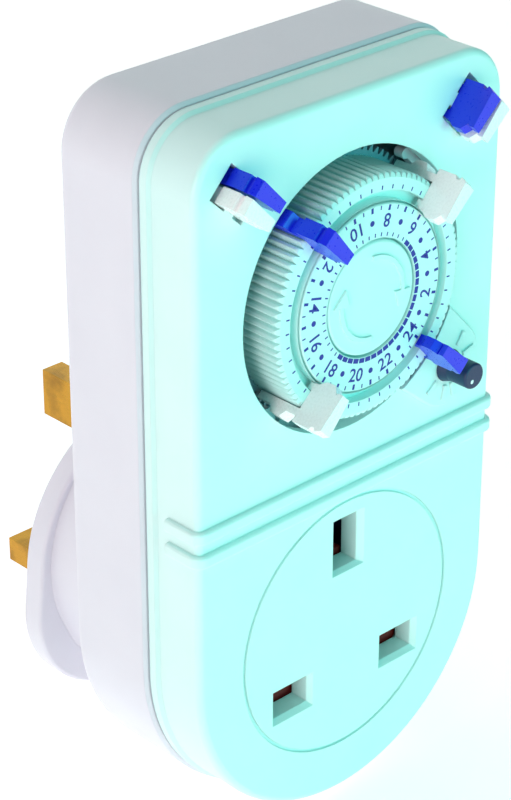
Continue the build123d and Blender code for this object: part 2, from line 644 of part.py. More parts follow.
def line_strap_out():
    """Strip from the line contact up to the lower microswitch terminal, in front of the other strip."""
    x = strap_x()
    low_z = terminal_z()[0] - STRIP
    front_y = LINE_BASE_Y - STRIP
    upright = bar(x, (LIVE_Z + low_z) / 2, STRAP_WIDTH, low_z - LIVE_Z + STRIP, front_y, front_y - STRIP)
    rise = bar(x, low_z, STRAP_WIDTH, STRIP, front_y, PLATE_BACK_Y + SEAT_GAP + STRIP)
    return upright + rise


def spring_foot_y():
    """Front of the ledge that carries the shutter spring."""
    return SHUTTER_FRONT_Y + FREE_GAP


def socket_block():
    """Insulating block that holds the contacts and guides the shutter."""
    body = rod(0, 0, BLOCK_R, BLOCK_BACK_Y, BLOCK_FRONT_Y)
    foot_z = SPRING_FOOT_Z - WELL_WALL
    body = body + bar(0, (foot_z + SPRING_FOOT_Z) / 2, FOOT_WIDTH, WELL_WALL, BLOCK_BACK_Y, spring_foot_y())
    root_z = -BLOCK_R * 0.9
    body = body + bar(0, (foot_z + root_z) / 2, FOOT_WIDTH, root_z - foot_z, BLOCK_BACK_Y, BLOCK_FRONT_Y)
    rail_z = (EARTH_Z + LIVE_Z) / 2 + RAIL[0] / 2
    for side in (-1, 1):
        rail_x = side * (SHUTTER_STEM / 2 + FREE_GAP + RAIL[0] / 2)
        body = body + bar(rail_x, rail_z, *RAIL, BLOCK_FRONT_Y, SHUTTER_FRONT_Y)
        body = body + rod(side * BLOCK_R * 0.7, BLOCK_R * 0.35, BLOCK_PAD_R, BACK_INSIDE_Y, BLOCK_BACK_Y)
    return body - socket_block_cuts()


def socket_block_cuts():
    """Pockets for the contacts, the ramp of the shutter, the tail of the line contact and the plug screws."""
    cuts = [bar(0, EARTH_Z, EARTH_SPAN, EARTH_PIN[1] + 2 * POCKET_GAP, BLOCK_BACK_Y, BLOCK_FRONT_Y)]
    ramp_low = EARTH_Z - EARTH_THROAT[1] / 2 - SHUTTER_TRAVEL - FREE_GAP
    ramp_high = EARTH_Z + EARTH_PIN[1] / 2 + FREE_GAP
    ramp_middle, ramp_span = (ramp_low + ramp_high) / 2, ramp_high - ramp_low
    cuts.append(bar(0, ramp_middle, EARTH_SPAN, ramp_span, EARTH_LEAF_Y, BLOCK_FRONT_Y))
    for side in (-1, 1):
        pocket_width = LIVE_PIN[0] + 2 * POCKET_GAP
        cuts.append(bar(side * LIVE_X, LIVE_Z, pocket_width, LIVE_SPAN, BLOCK_BACK_Y, BLOCK_FRONT_Y))
    tail_x, tail_length = (LIVE_X + BLOCK_R) / 2, BLOCK_R - LIVE_X + CUT_OVERRUN
    tail_height = STRAP_WIDTH + 2 * SEAT_GAP
    tail = bar(tail_x, LIVE_Z, tail_length, tail_height, BLOCK_BACK_Y, LINE_BASE_Y - STRIP)
    return cuts + [tail]


def ramp_sketch(low_z, high_z, back_y):
    """Side view of the shutter ramp, which a descending earth pin pushes down."""
    corners = ((SHUTTER_FRONT_Y, low_z), (back_y, low_z), (back_y, high_z))
    return Plane(origin=(-RAMP_WIDTH / 2, 0, 0), x_dir=(0, 1, 0), z_dir=(1, 0, 0)) * make_face(
        Polyline(*corners, close=True))


def safety_shutter():
    """Shutter with a bar across the line and neutral apertures and a ramp in the path of the earth pin."""
    bar_length, bar_height = SHUTTER_BAR
    cross = bar(0, LIVE_Z, 2 * bar_length, bar_height, SHUTTER_BACK_Y, SHUTTER_FRONT_Y)
    cross = fillet(cross.edges().filter_by(Axis.Y), SHUTTER_CORNER_R)
    ramp_low = EARTH_Z - EARTH_THROAT[1] / 2 + RAMP_LIFT
    ramp_back = EARTH_LEAF_Y - FREE_GAP
    stem_length = ramp_low + STEM_LAP - LIVE_Z
    stem_z = LIVE_Z + stem_length / 2
    stem = bar(0, stem_z, SHUTTER_STEM, stem_length, SHUTTER_BACK_Y, SHUTTER_FRONT_Y)
    ramp = extrude(ramp_sketch(ramp_low, ramp_low + SHUTTER_TRAVEL, ramp_back), amount=RAMP_WIDTH)
    seat_z = LIVE_Z - bar_height / 2
    peg_r = SPRING_R - SPRING_WIRE_R - SPRING_PEG_GAP
    peg = Pos(0, SHUTTER_MID_Y, seat_z - SPRING_PEG / 2) * Cylinder(peg_r, SPRING_PEG)
    return cross + stem + ramp + peg


def shutter_spring():
    """Compression spring between the foot of the socket block and the shutter."""
    top_z = LIVE_Z - SHUTTER_BAR[1] / 2
    height = top_z - SPRING_FOOT_Z - 2 * SPRING_WIRE_R - 2 * RUNNING_GAP
    start_z = SPRING_FOOT_Z + SPRING_WIRE_R + RUNNING_GAP
    coil = Helix(height / SPRING_TURNS, height, SPRING_R)
    wire = sweep(Plane(coil @ 0, z_dir=coil % 0) * Circle(SPRING_WIRE_R), path=coil)
    return Pos(0, SHUTTER_MID_Y, start_z) * wire


# --- dial -----------------------------------------------------------------------------------------
def serrated_disc():
    """Outline of the dial rim: each serration rises from a valley to a rounded back."""
    step = 360.0 / SERRATIONS
    profile = ((0, SERRATION_DEPTH), (0.22, SERRATION_DEPTH / 4), (0.5, 0), (0.78, SERRATION_DEPTH / 4))
    points = [polar(RIM_R - inset, step * (n + share), 0, 0)
              for n in range(SERRATIONS) for share, inset in profile]
    return Pos(0, DIAL_Z) * make_face(Polyline(*points, close=True))


def rim_shoulder():
    """Ring to cut off, which rounds the outer edge of the rim top."""
    slope = RIM_SHOULDER_R * (1 - math.sqrt(0.5))
    far_r, far_y = RIM_R + 1.0, RIM_TOP_Y - 1.0
    low_y = RIM_TOP_Y + RIM_SHOULDER_R
    return dial_profile([(RIM_R - RIM_SHOULDER_R, RIM_TOP_Y), (RIM_R - slope, RIM_TOP_Y + slope),
                         (RIM_R + RUNNING_GAP, low_y), (far_r, low_y), (far_r, far_y),
                         (RIM_R - RIM_SHOULDER_R, far_y)])


def dial_rim():
    """Dial body: a serrated skirt round a plate, with a groove for the tappets and a hub."""
    inner_r = RIM_R - SKIRT_WALL - SERRATION_DEPTH
    disc_seat_r = GROOVE_R[0] - 0.05
    hollow = [(HUB_R, DIAL_PLATE_BACK_Y), (inner_r, DIAL_PLATE_BACK_Y),
              (inner_r, DIAL_GEAR_FRONT_Y), (HUB_R, DIAL_GEAR_FRONT_Y)]
    groove = [(GROOVE_R[0], GROOVE_FLOOR_Y), (GROOVE_R[1], GROOVE_FLOOR_Y),
              (GROOVE_R[1], RIM_TOP_Y), (GROOVE_R[0], RIM_TOP_Y)]
    hub = rod(0, DIAL_Z, HUB_R, DIAL_GEAR_FRONT_Y, DIAL_GEAR_BACK_Y)
    skirt = slab(serrated_disc(), DIAL_GEAR_FRONT_Y, RIM_TOP_Y) - rim_shoulder()
    body = skirt - dial_profile(hollow) - dial_profile(groove) + hub
    body = body - rod(0, DIAL_Z, disc_seat_r, DISC_BACK_Y, RIM_TOP_Y)
    return body - rod(0, DIAL_Z, SPINDLE_R + RUNNING_GAP, DIAL_GEAR_BACK_Y, RIM_TOP_Y)


def number_disc():
    """Flat ring that carries the printed hours."""
    ring = tube(0, DIAL_Z, DISC_R[1], DISC_R[0], DISC_BACK_Y, DISC_TOP_Y)
    return chamfer(face_rim(ring, -1), 0.15)


def dial_cap():
    """Centre cap with two raised turning arrows and room for the spindle clip behind it."""
    cap = rod(0, DIAL_Z, CAP_R, DISC_BACK_Y, DISC_TOP_Y)
    cap = fillet(face_rim(cap, -1), CAP_EDGE_R)
    pocket_y = DISC_BACK_Y - SEAT_GAP - CLIP_THICK - FREE_GAP
    cap = cap - rod(0, DIAL_Z, CLIP_R + 2 * FREE_GAP, DISC_BACK_Y, pocket_y)
    for start in ARROW_STARTS:
        inner_r, outer_r = ARROW_R - ARROW_WIDTH / 2, ARROW_R + ARROW_WIDTH / 2
        shaft = ring_sector(inner_r, outer_r, start, -ARROW_SWEEP)
        tip_angle = start - ARROW_SWEEP
        corners = [polar(ARROW_R + ARROW_HEAD, tip_angle), polar(ARROW_R - ARROW_HEAD, tip_angle),
                   polar(ARROW_R, tip_angle - 24.0)]
        head = make_face(Polyline(*corners, close=True))
        cap = cap + slab(shaft + head, DISC_TOP_Y, DISC_TOP_Y - ARROW_PROUD)
    return cap


def dial_gear():
    """Toothed ring under the skirt that turns the dial."""
    wheel = gear(DIAL_TEETH, 0, DIAL_Z, SECOND_ANGLE, False, DIAL_GEAR_BACK_Y, DIAL_GEAR_FRONT_Y)
    return wheel - rod(0, DIAL_Z, HUB_R + RUNNING_GAP, DIAL_GEAR_BACK_Y, DIAL_GEAR_FRONT_Y)


def dial_spindle():
    """Fixed spindle that the dial turns on, with a shoulder on the plate."""
    spindle = rod(0, DIAL_Z, SPINDLE_R, PLATE_FRONT_Y, DISC_BACK_Y - SEAT_GAP - CLIP_THICK)
    return spindle + rod(0, DIAL_Z, HUB_R, PLATE_FRONT_Y, DIAL_GEAR_BACK_Y + SEAT_GAP)


def spindle_clip():
    """Clip on the spindle's end that keeps the dial on."""
    back_y = DISC_BACK_Y - SEAT_GAP
    return tube(0, DIAL_Z, CLIP_R, SPINDLE_R, back_y, back_y - CLIP_THICK)


# --- tappets --------------------------------------------------------------------------------------
def tappet_points():
    """Section of a tappet as (radius from the dial axis, depth below the rim top)."""
    inner, outer = TAPPET_R
    leg_in, leg_out = LEG_R
    top = RIM_PROUD - TAPPET_TOP
    steps = [(outer - inward, top + down) for inward, down in TAPPET_STEPS]
    latch = [(leg_out if level else outer + TAPPET_LATCH, depth) for level, depth in TAPPET_LATCH_DEPTHS]
    nose = [(inner + outward, depth) for outward, depth in TAPPET_NOSE]
    lug_in, lug_out = GROOVE_R[0] + 3 * RUNNING_GAP, GROOVE_R[1] - 3 * RUNNING_GAP
    leg = [(leg_out, TAPPET_REACH), (leg_in, TAPPET_REACH), (leg_in, 0)]
    lug = [(lug_out, 0), (lug_out, TAPPET_LUG), (lug_in, TAPPET_LUG), (lug_in, 0)]
    return [(inner, top), *steps, (outer, 0), (leg_out, 0), *latch, *leg, *lug, (inner, 0), *nose]


def tappet(angle):
    """Tappet on the dial rim: a wedge-shaped clip whose leg reaches down outside the serrations."""
    points = [(radius, RIM_TOP_Y + height) for radius, height in tappet_points()]
    section = Plane(origin=(0, 0, DIAL_Z)) * make_face(Polyline(*points, close=True))
    wedge = revolve(section, Axis((0, 0, DIAL_Z), (0, -1, 0)), TAPPET_WEDGE)
    return turned(wedge, angle - TAPPET_WEDGE / 2)


def stored_tappet(angle, shift):
    """Tappet in a face pocket: moved outward from the dial, sideways, and in until it sits on the face."""
    out_x, out_z = polar(PARK_OUT, angle, 0, 0)
    side_x, side_z = polar(shift, angle + 90.0, 0, 0)
    return Pos(out_x + side_x, RIM_PROUD, out_z + side_z) * tappet(angle)


# --- clockwork ------------------------------------------------------------------------------------
def involute(angle):
    """Involute function of a pressure angle."""
    return math.tan(angle) - angle


def gear_outline(teeth):
    """Spur gear outline around the origin with a tooth on +X, its flanks true involutes of three spans."""
    pitch_r = MODULE * teeth / 2
    base_r = pitch_r * math.cos(PRESSURE_ANGLE)
    tip_r = pitch_r + MODULE
    root_r = pitch_r - 1.25 * MODULE
    start_r = max(base_r, root_r)
    half_pitch = math.pi / (2 * teeth) - TOOTH_THINNING / (2 * pitch_r)
    flank = []
    for share in (0, 1 / 3, 2 / 3, 1):
        radius = start_r + (tip_r - start_r) * share
        flank.append((radius, half_pitch + involute(PRESSURE_ANGLE) - involute(math.acos(base_r / radius))))
    root_half = flank[0][1]
    one_tooth = [(root_r, -root_half)] if root_r < start_r else []
    one_tooth += [(radius, -half) for radius, half in flank]
    one_tooth += [(radius, half) for radius, half in flank[::-1]]
    one_tooth += [(root_r, root_half)] if root_r < start_r else []
    points = []
    for n in range(teeth):
        middle = 2 * math.pi * n / teeth
        points += [(r * math.cos(middle + turn), r * math.sin(middle + turn)) for r, turn in one_tooth]
    return make_face(Polyline(*points, close=True))


def gear(teeth, x, z, mesh_angle, gap_faces_mesh, back_y, front_y):
    """Spur gear with a tooth, or a gap, on the line to the gear it meshes with."""
    half_step = 180.0 / teeth if gap_faces_mesh else 0.0
    return slab(Pos(x, z) * Rot(0, 0, mesh_angle + half_step) * gear_outline(teeth), back_y, front_y)


def mesh_distance(teeth_a, teeth_b):
    """Centre distance of two meshing gears."""
    return MODULE * (teeth_a + teeth_b) / 2 + MESH_SLACK


def arbor_places():
    """Centres of the second arbor, the first arbor and the motor shaft, which follow from the gear sizes."""
    second = polar(mesh_distance(DIAL_TEETH, PINION_TEETH), SECOND_ANGLE)
    first = polar(mesh_distance(SECOND_TEETH, PINION_TEETH), FIRST_ANGLE, *second)
    motor = polar(mesh_distance(FIRST_TEETH, PINION_TEETH), MOTOR_ANGLE, *first)
    return second, first, motor


def second_layers():
    """Depths of the second wheel: pinion front, wheel front, wheel back."""
    pinion_front = DIAL_GEAR_FRONT_Y - 0.2
    wheel_front = DIAL_GEAR_BACK_Y + LAYER_GAP
    return pinion_front, wheel_front, wheel_front + WHEEL_THICK


def first_layers():
    """Depths of the first wheel: pinion front, wheel front, wheel back."""
    pinion_front, wheel_front = second_layers()[1], second_layers()[2] + LAYER_GAP
    return pinion_front, wheel_front, wheel_front + WHEEL_THICK


def geared_wheel(place, layers, teeth, wheel_angle, pinion_angle):
    """Large wheel with a pinion in front of it, a sleeve behind it and a bore for its arbor."""
    pinion_front, wheel_front, wheel_back = layers
    wheel = gear(teeth, *place, wheel_angle, False, wheel_back, wheel_front)
    pinion = gear(PINION_TEETH, *place, pinion_angle + 180.0, True, wheel_front, pinion_front)
    sleeve_back = PLATE_FRONT_Y - SEAT_GAP
    sleeve = rod(*place, 2 * ARBOR_R, sleeve_back, wheel_back)
    return wheel + pinion + sleeve - rod(*place, ARBOR_R + RUNNING_GAP, sleeve_back, pinion_front)


def second_wheel():
    """Wheel whose pinion drives the dial gear."""
    return geared_wheel(arbor_places()[0], second_layers(), SECOND_TEETH, FIRST_ANGLE, SECOND_ANGLE)


def first_wheel():
    """Wheel between the motor pinion and the second wheel."""
    return geared_wheel(arbor_places()[1], first_layers(), FIRST_TEETH, MOTOR_ANGLE, FIRST_ANGLE)


def motor_pinion():
    """Pinion and shaft of the motor."""
    x, z = arbor_places()[2]
    _, front_y, back_y = first_layers()
    pinion = gear(PINION_TEETH, x, z, MOTOR_ANGLE + 180.0, True, back_y, front_y)
    return pinion + rod(x, z, ARBOR_R, PLATE_BACK_Y + SHAFT_DEPTH, back_y)


def second_arbor():
    """Fixed pin of the second wheel."""
    pinion_front = second_layers()[0]
    return rod(*arbor_places()[0], ARBOR_R, PLATE_FRONT_Y, pinion_front - 1.0)


def first_arbor():
    """Fixed pin of the first wheel, which ends under the dial gear."""
    return rod(*arbor_places()[1], ARBOR_R, PLATE_FRONT_Y, first_layers()[0] - SEAT_GAP)


def arbor_clip():
    """Clip that keeps the second wheel on its pin."""
    back_y = second_layers()[0] - SEAT_GAP
    return tube(*arbor_places()[0], 2 * ARBOR_R, ARBOR_R, back_y, back_y - ARBOR_CLIP)


def motor_centre():
    """Middle of the motor can, whose shaft is off centre."""
    x, z = arbor_places()[2]
    return x + MOTOR_SHIFT[0], z + MOTOR_SHIFT[1]


def mechanism_plate():
    """Plate that carries the spindle, the pins, the motor and the microswitch."""
    outline = case_outline(-SIDE_WALL - FREE_GAP)
    keep = Pos(0, PLATE_LOW_Z + BIG / 2) * Rectangle(BIG, BIG)
    plate = slab(outline & keep, PLATE_BACK_Y, PLATE_FRONT_Y)
    for x, z in CASE_SCREWS:
        plate = plate - rod(x, z, CASE_POST_R + FREE_GAP, PLATE_BACK_Y, PLATE_FRONT_Y)
    for x, z in PLATE_SCREWS + tuple(motor_ears()) + tuple(switch_screw_places()):
        plate = plate - rod(x, z, SMALL_SCREW_R + RUNNING_GAP, PLATE_BACK_Y, PLATE_FRONT_Y)
    plate = plate - rod(*arbor_places()[2], ARBOR_R + 4 * RUNNING_GAP, PLATE_BACK_Y, PLATE_FRONT_Y)
    plate = plate - rod(KNOB_X, KNOB_Z, KNOB_R - KNOB_TAIL + RUNNING_GAP, PLATE_BACK_Y, PLATE_FRONT_Y)
    slot_width, slot_height = STRAP_WIDTH + 2 * TERMINAL_SLOT_GAP, STRIP + 2 * TERMINAL_SLOT_GAP
    for z in terminal_z():
        plate = plate - bar(strap_x(), z, slot_width, slot_height, PLATE_BACK_Y, PLATE_FRONT_Y)
    return plate


def mechanism_screws():
    """Four screws that hold the plate to the posts of the front cover."""
    tip_y = PLATE_FRONT_Y - PLATE_SCREW_GRIP
    return [screw(x, z, PLATE_BACK_Y, tip_y, SMALL_SCREW_R, *SMALL_HEAD) for x, z in PLATE_SCREWS]


def motor_ears():
    """Screw places on the two ears of the motor."""
    turns = (MOTOR_EAR_ANGLE, MOTOR_EAR_ANGLE + 180.0)
    return [polar(MOTOR_R + MOTOR_EAR_OUT, angle, *motor_centre()) for angle in turns]


def motor_can():
    """Synchronous motor: a shallow can with a beaded edge and two screw ears."""
    x, z = motor_centre()
    can = rod(x, z, MOTOR_R, PLATE_BACK_Y + MOTOR_DEPTH, PLATE_BACK_Y)
    can = fillet(face_rim(can, 1), MOTOR_EDGE_R)
    ear_y = PLATE_BACK_Y + MOTOR_EAR_THICK
    for ear_x, ear_z in motor_ears():
        circles = Pos(ear_x, ear_z) * Circle(MOTOR_EAR_R) + Pos(x, z) * Circle(MOTOR_EAR_ROOT_R)
        can = can + slab(make_hull(circles.edges()), ear_y, PLATE_BACK_Y)
    for ear_x, ear_z in motor_ears():
        can = can - rod(ear_x, ear_z, SMALL_SCREW_R + RUNNING_GAP, ear_y, PLATE_BACK_Y)
    bore_y = PLATE_BACK_Y + SHAFT_DEPTH + SHAFT_SPACE
    return can - rod(*arbor_places()[2], ARBOR_R + RUNNING_GAP, bore_y, PLATE_BACK_Y)


def motor_screws():
    """Two short screws through the motor ears into the plate."""
    seat_y = PLATE_BACK_Y + MOTOR_EAR_THICK
    return [screw(x, z, seat_y, PLATE_FRONT_Y, SMALL_SCREW_R, *SMALL_HEAD) for x, z in motor_ears()]


# --- override knob --------------------------------------------------------------------------------
def override_knob():
    """Knob that turns the switching cam by hand, borne in the face and in the plate."""
    top_y = FACE_Y - KNOB_PROUD
    foot_y = FACE_Y - KNOB_BOSS_PROUD - SEAT_GAP
    collar_y = FACE_INSIDE_Y + SEAT_GAP
    lobe_front_y = collar_y + 1.0
    lobe_back_y = DIAL_GEAR_FRONT_Y + 1.0
    tail_front_y = PLATE_FRONT_Y - SEAT_GAP
    middle = Pos(KNOB_X, KNOB_Z)
    stem = fillet(face_rim(rod(KNOB_X, KNOB_Z, KNOB_R, collar_y, top_y), -1), KNOB_EDGE_R)
    flare = loft([front(foot_y) * middle * Circle(KNOB_FLARE_R),
                  front(foot_y - KNOB_FLARE) * middle * Circle(KNOB_R)])
    lobe_place = Pos(*polar(CAM_LOBE, CAM_ANGLE, KNOB_X, KNOB_Z))
    lobe = make_hull((middle * Circle(CAM_CORE_R) + lobe_place * Circle(CAM_LOBE_R)).edges())
    core = rod(KNOB_X, KNOB_Z, CAM_CORE_R, lobe_front_y, collar_y)
    sleeve = rod(KNOB_X, KNOB_Z, KNOB_R + KNOB_SLEEVE, tail_front_y, lobe_back_y)
    tail = rod(KNOB_X, KNOB_Z, KNOB_R - KNOB_TAIL, PLATE_BACK_Y, tail_front_y)
    dot_place = polar(KNOB_DOT_FROM_MIDDLE, KNOB_DOT_ANGLE, KNOB_X, KNOB_Z)
    dot = rod(*dot_place, KNOB_DOT_R, top_y + KNOB_DOT_DEPTH, top_y)
    return stem + flare + core + slab(lobe, lobe_back_y, lobe_front_y) + sleeve + tail - dot


# --- switch ---------------------------------------------------------------------------------------
def switch_screw_places():
    """Two screws through the body of the microswitch."""
    return tuple((SWITCH_X + SWITCH_SCREW_SHIFT, SWITCH_LOW_Z + rise) for rise in SWITCH_SCREW_RISE)


def switch_top_z():
    """Top of the microswitch body, where its button stands out."""
    return SWITCH_LOW_Z + SWITCH_SIZE[2]


def blade_layers():
    """Depths of the lever blade that the tappet legs work, clear of the dial gear behind it."""
    back_y = DIAL_GEAR_FRONT_Y - LAYER_GAP - RUNNING_GAP * 4
    return back_y, back_y - LEVER_BLADE


def tail_y():
    """Depth of the middle of the lever tail and of the button."""
    return PLATE_FRONT_Y - SWITCH_SIZE[1] / 2


def follower_lever():
    """Lever whose nose lies beside the tappet legs and whose tail presses the microswitch."""
    back_y, front_y = blade_layers()
    arm = ring_sector(*LEVER_ARM_R, LEVER_ANGLE, LEVER_NOSE_ANGLE - LEVER_ANGLE)
    nose_x, nose_z = polar(LEG_R[1] + FREE_GAP + LEVER_NOSE_R, LEVER_NOSE_ANGLE)
    blade = slab(arm + Pos(nose_x, nose_z) * Circle(LEVER_NOSE_R), back_y, front_y)
    hub = rod(LEVER_X, LEVER_Z, LEVER_HUB_R, PLATE_FRONT_Y - SEAT_GAP, front_y)
    pad_width, pad_height = LEVER_PAD
    pad_z = switch_top_z() + BUTTON[2] + SEAT_GAP
    pad_in, pad_out = BUTTON_X - pad_width / 2, BUTTON_X + pad_width / 2
    below, above = (polar(LEVER_HUB_R * share, angle, LEVER_X, LEVER_Z) for share, angle in LEVER_TAIL_ROOT)
    corners = [below, (pad_in, pad_z), (pad_out, pad_z), (pad_out, pad_z + pad_height), above]
    tail_back_y, tail_front_y = tail_y() + LEVER_TAIL / 2, tail_y() - LEVER_TAIL / 2
    tail = slab(make_face(Polyline(*corners, close=True)), tail_back_y, tail_front_y)
    return blade + hub + tail - rod(LEVER_X, LEVER_Z, LEVER_PIN_R + RUNNING_GAP, PLATE_FRONT_Y, front_y)


def lever_pin():
    """Fixed pin of the follower lever."""
    return rod(LEVER_X, LEVER_Z, LEVER_PIN_R, PLATE_FRONT_Y, blade_layers()[1] - LEVER_PIN_PROUD)


def microswitch_body():
    """Sealed microswitch with a slot for its button and two screw holes."""
    width, depth, height = SWITCH_SIZE
    body = bar(SWITCH_X, SWITCH_LOW_Z + height / 2, width, height, PLATE_FRONT_Y, PLATE_FRONT_Y - depth)
    body = chamfer(face_rim(body, -1), 0.3)
    slot_z = switch_top_z() - BUTTON_SLOT / 2
    slot = bar(BUTTON_X, slot_z, BUTTON[0] + 2 * SEAT_GAP, BUTTON_SLOT, tail_y() + BUTTON[1] / 2 + SEAT_GAP,
               tail_y() - BUTTON[1] / 2 - SEAT_GAP)
    for x, z in switch_screw_places():
        body = body - rod(x, z, SMALL_SCREW_R + RUNNING_GAP, PLATE_FRONT_Y, PLATE_FRONT_Y - depth)
    return body - slot


def microswitch_button():
    """Button that the lever tail presses; it returns by its own spring."""
    low_z = switch_top_z() - BUTTON_SUNK
    high_z = switch_top_z() + BUTTON[2]
    back_y, front_y = tail_y() + BUTTON[1] / 2, tail_y() - BUTTON[1] / 2
    return bar(BUTTON_X, (low_z + high_z) / 2, BUTTON[0], high_z - low_z, back_y, front_y)


def switch_terminals():
    """Two blades that leave the microswitch through slots of the plate."""
    return [bar(strap_x(), z, STRAP_WIDTH, STRIP, PLATE_BACK_Y + TERMINAL_PROUD, PLATE_FRONT_Y)
            for z in terminal_z()]


def switch_screws():
    """Screws that hold the microswitch to the plate."""
    seat_y = PLATE_FRONT_Y - SWITCH_SIZE[1]
    return [screw(x, z, seat_y, PLATE_BACK_Y, SMALL_SCREW_R, *SWITCH_HEAD, facing=-1)
            for x, z in switch_screw_places()]


# --- leads ----------------------------------------------------------------------------------------
def motor_exit(angle, y):
    """Point on the motor's side where a lead comes out, and the way it points there."""
    x, z = polar(MOTOR_R + RUNNING_GAP, angle, *motor_centre())
    out_x, out_z = polar(1.0, angle, 0, 0)
    return (x, y, z), (out_x, 0, out_z)


def lead(points, start_way, end_way):
    """Insulated wire along a smooth curve through its points."""
    route = Spline(*points, tangents=(start_way, end_way))
    return sweep(Plane(route @ 0, z_dir=route % 0) * Circle(LEAD_R), path=route)


def motor_lead_live():
    """Wire from the motor to the strap between microswitch and line contact."""
    y = LINE_BASE_Y - 1.5 * STRIP
    start, way_out = motor_exit(LIVE_LEAD_ANGLE, y)
    end = (strap_x() - STRAP_WIDTH / 2 - SEAT_GAP, y, PLATE_LOW_Z + LEAD_RISE)
    middle = ((start[0] + end[0]) / 2, y, (start[2] + end[2]) / 2)
    return lead([start, middle, end], way_out, (1, 0, 0))


def motor_lead_neutral():
    """Wire from the motor, round the socket block, to the base of the neutral contact."""
    y = BACK_INSIDE_Y - LEAD_R - SEAT_GAP
    start, way_out = motor_exit(NEUTRAL_LEAD_ANGLE, PLATE_BACK_Y + MOTOR_DEPTH / 2)
    end_x = -LIVE_X - (LIVE_PIN[0] - 1.0) / 2 - SEAT_GAP
    side_x = -BLOCK_R - 3 * LEAD_R
    points = [start, (side_x + 4.0, y - 3.8, start[2] - 10.0), (side_x, y - 1.4, BLOCK_R + 2.6),
              (side_x + LEAD_R, y - SEAT_GAP, 6.0), (side_x + 3 * LEAD_R, y, -2.0),
              (end_x - 5 * LEAD_R, y, LIVE_Z + 2 * LEAD_R), (end_x, y, LIVE_Z)]
    return lead(points, way_out, (1, 0, 0))


# --- all pieces -----------------------------------------------------------------------------------
def all_nodes():
    """Every separate piece by name; fasteners of one kind share a name."""
    earth, line, neutral = pin_places()
    nodes = {
        "front_cover": front_cover(), "rear_case": rear_case(), "case_screws": case_screws(),
        "plug_base": plug_base(), "plug_screws": plug_screws(), "pin_rivets": pin_rivets(),
        "earth_pin": pin(*earth, EARTH_PIN, rivet_y()), "line_pin": pin(*line, LIVE_PIN, rivet_y()),
        "neutral_pin": pin(*neutral, LIVE_PIN, rivet_y()),
        "earth_contact": earth_contact(), "line_contact": line_contact(),
        "neutral_contact": neutral_contact(),
        "line_strap_in": line_strap_in(), "line_strap_out": line_strap_out(), "socket_block": socket_block(),
        "safety_shutter": safety_shutter(), "shutter_spring": shutter_spring(),
        "dial_rim": dial_rim(), "number_disc": number_disc(), "dial_cap": dial_cap(),
        "dial_gear": dial_gear(),
        "dial_spindle": dial_spindle(), "spindle_clip": spindle_clip(),
        "mechanism_plate": mechanism_plate(), "mechanism_screws": mechanism_screws(),
        "second_wheel": second_wheel(), "second_arbor": second_arbor(), "arbor_clip": arbor_clip(),
        "first_wheel": first_wheel(), "first_arbor": first_arbor(),
        "motor_pinion": motor_pinion(), "motor_can": motor_can(), "motor_screws": motor_screws(),
        "override_knob": override_knob(), "follower_lever": follower_lever(), "lever_pin": lever_pin(),
        "microswitch_body": microswitch_body(), "microswitch_button": microswitch_button(),
        "switch_terminals": switch_terminals(), "switch_screws": switch_screws(),
        "motor_lead_live": motor_lead_live(), "motor_lead_neutral": motor_lead_neutral(),
    }
    for name, angle in DIAL_TAPPET_ANGLES.items():
        nodes["dial_tappet_" + name] = tappet(angle)
    for name, place in zip("abcd", park_places()):
        nodes["stored_tappet_" + name] = stored_tappet(*place)
    return nodes


def main():
    """Write each piece to its own file."""
    os.makedirs("parts", exist_ok=True)
    for name, shape in all_nodes().items():
        solids = shape if isinstance(shape, list) else shape.solids()
        export_step(Compound(children=list(solids)) if len(solids) > 1 else solids[0], f"parts/{name}.step")


main()
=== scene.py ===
# %% [markdown]
# # A plug-through timer switch, dressed for its portrait
# The pieces come from a CAD model whose shapes and sizes are fixed. This script gives each piece the finish
# it has on the real object: moulded ABS, glossy tappets, brass pins, zinc-plated steel and a printed dial.
# Everything is in metres: +Z is up, and -Y points from the wall to the person who sets the dial.

# %% Load the frame
import json
import math

import bmesh
import bpy
from mathutils import Matrix, Vector


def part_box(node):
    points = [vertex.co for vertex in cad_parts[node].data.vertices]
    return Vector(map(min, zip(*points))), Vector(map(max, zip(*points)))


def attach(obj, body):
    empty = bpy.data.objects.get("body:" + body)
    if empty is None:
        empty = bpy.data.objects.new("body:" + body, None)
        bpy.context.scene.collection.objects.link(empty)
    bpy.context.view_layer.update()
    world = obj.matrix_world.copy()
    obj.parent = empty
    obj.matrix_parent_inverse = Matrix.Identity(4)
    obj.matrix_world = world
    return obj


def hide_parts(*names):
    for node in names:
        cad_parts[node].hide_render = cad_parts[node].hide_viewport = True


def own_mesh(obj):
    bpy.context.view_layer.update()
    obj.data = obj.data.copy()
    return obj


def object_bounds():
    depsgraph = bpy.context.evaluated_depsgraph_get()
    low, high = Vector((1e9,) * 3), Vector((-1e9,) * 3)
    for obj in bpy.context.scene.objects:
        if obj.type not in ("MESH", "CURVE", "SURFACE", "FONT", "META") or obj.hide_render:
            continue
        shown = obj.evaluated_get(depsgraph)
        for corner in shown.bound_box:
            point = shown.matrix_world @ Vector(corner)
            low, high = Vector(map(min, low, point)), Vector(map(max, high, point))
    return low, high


MM = 0.001
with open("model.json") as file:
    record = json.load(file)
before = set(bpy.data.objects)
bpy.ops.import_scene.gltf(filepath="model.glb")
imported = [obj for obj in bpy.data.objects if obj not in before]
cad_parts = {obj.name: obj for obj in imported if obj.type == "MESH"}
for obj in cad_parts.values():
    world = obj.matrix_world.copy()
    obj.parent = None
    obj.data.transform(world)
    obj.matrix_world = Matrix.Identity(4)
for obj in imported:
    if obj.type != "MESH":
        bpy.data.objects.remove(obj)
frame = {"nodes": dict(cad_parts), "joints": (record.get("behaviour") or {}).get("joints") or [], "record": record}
cad_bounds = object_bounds()

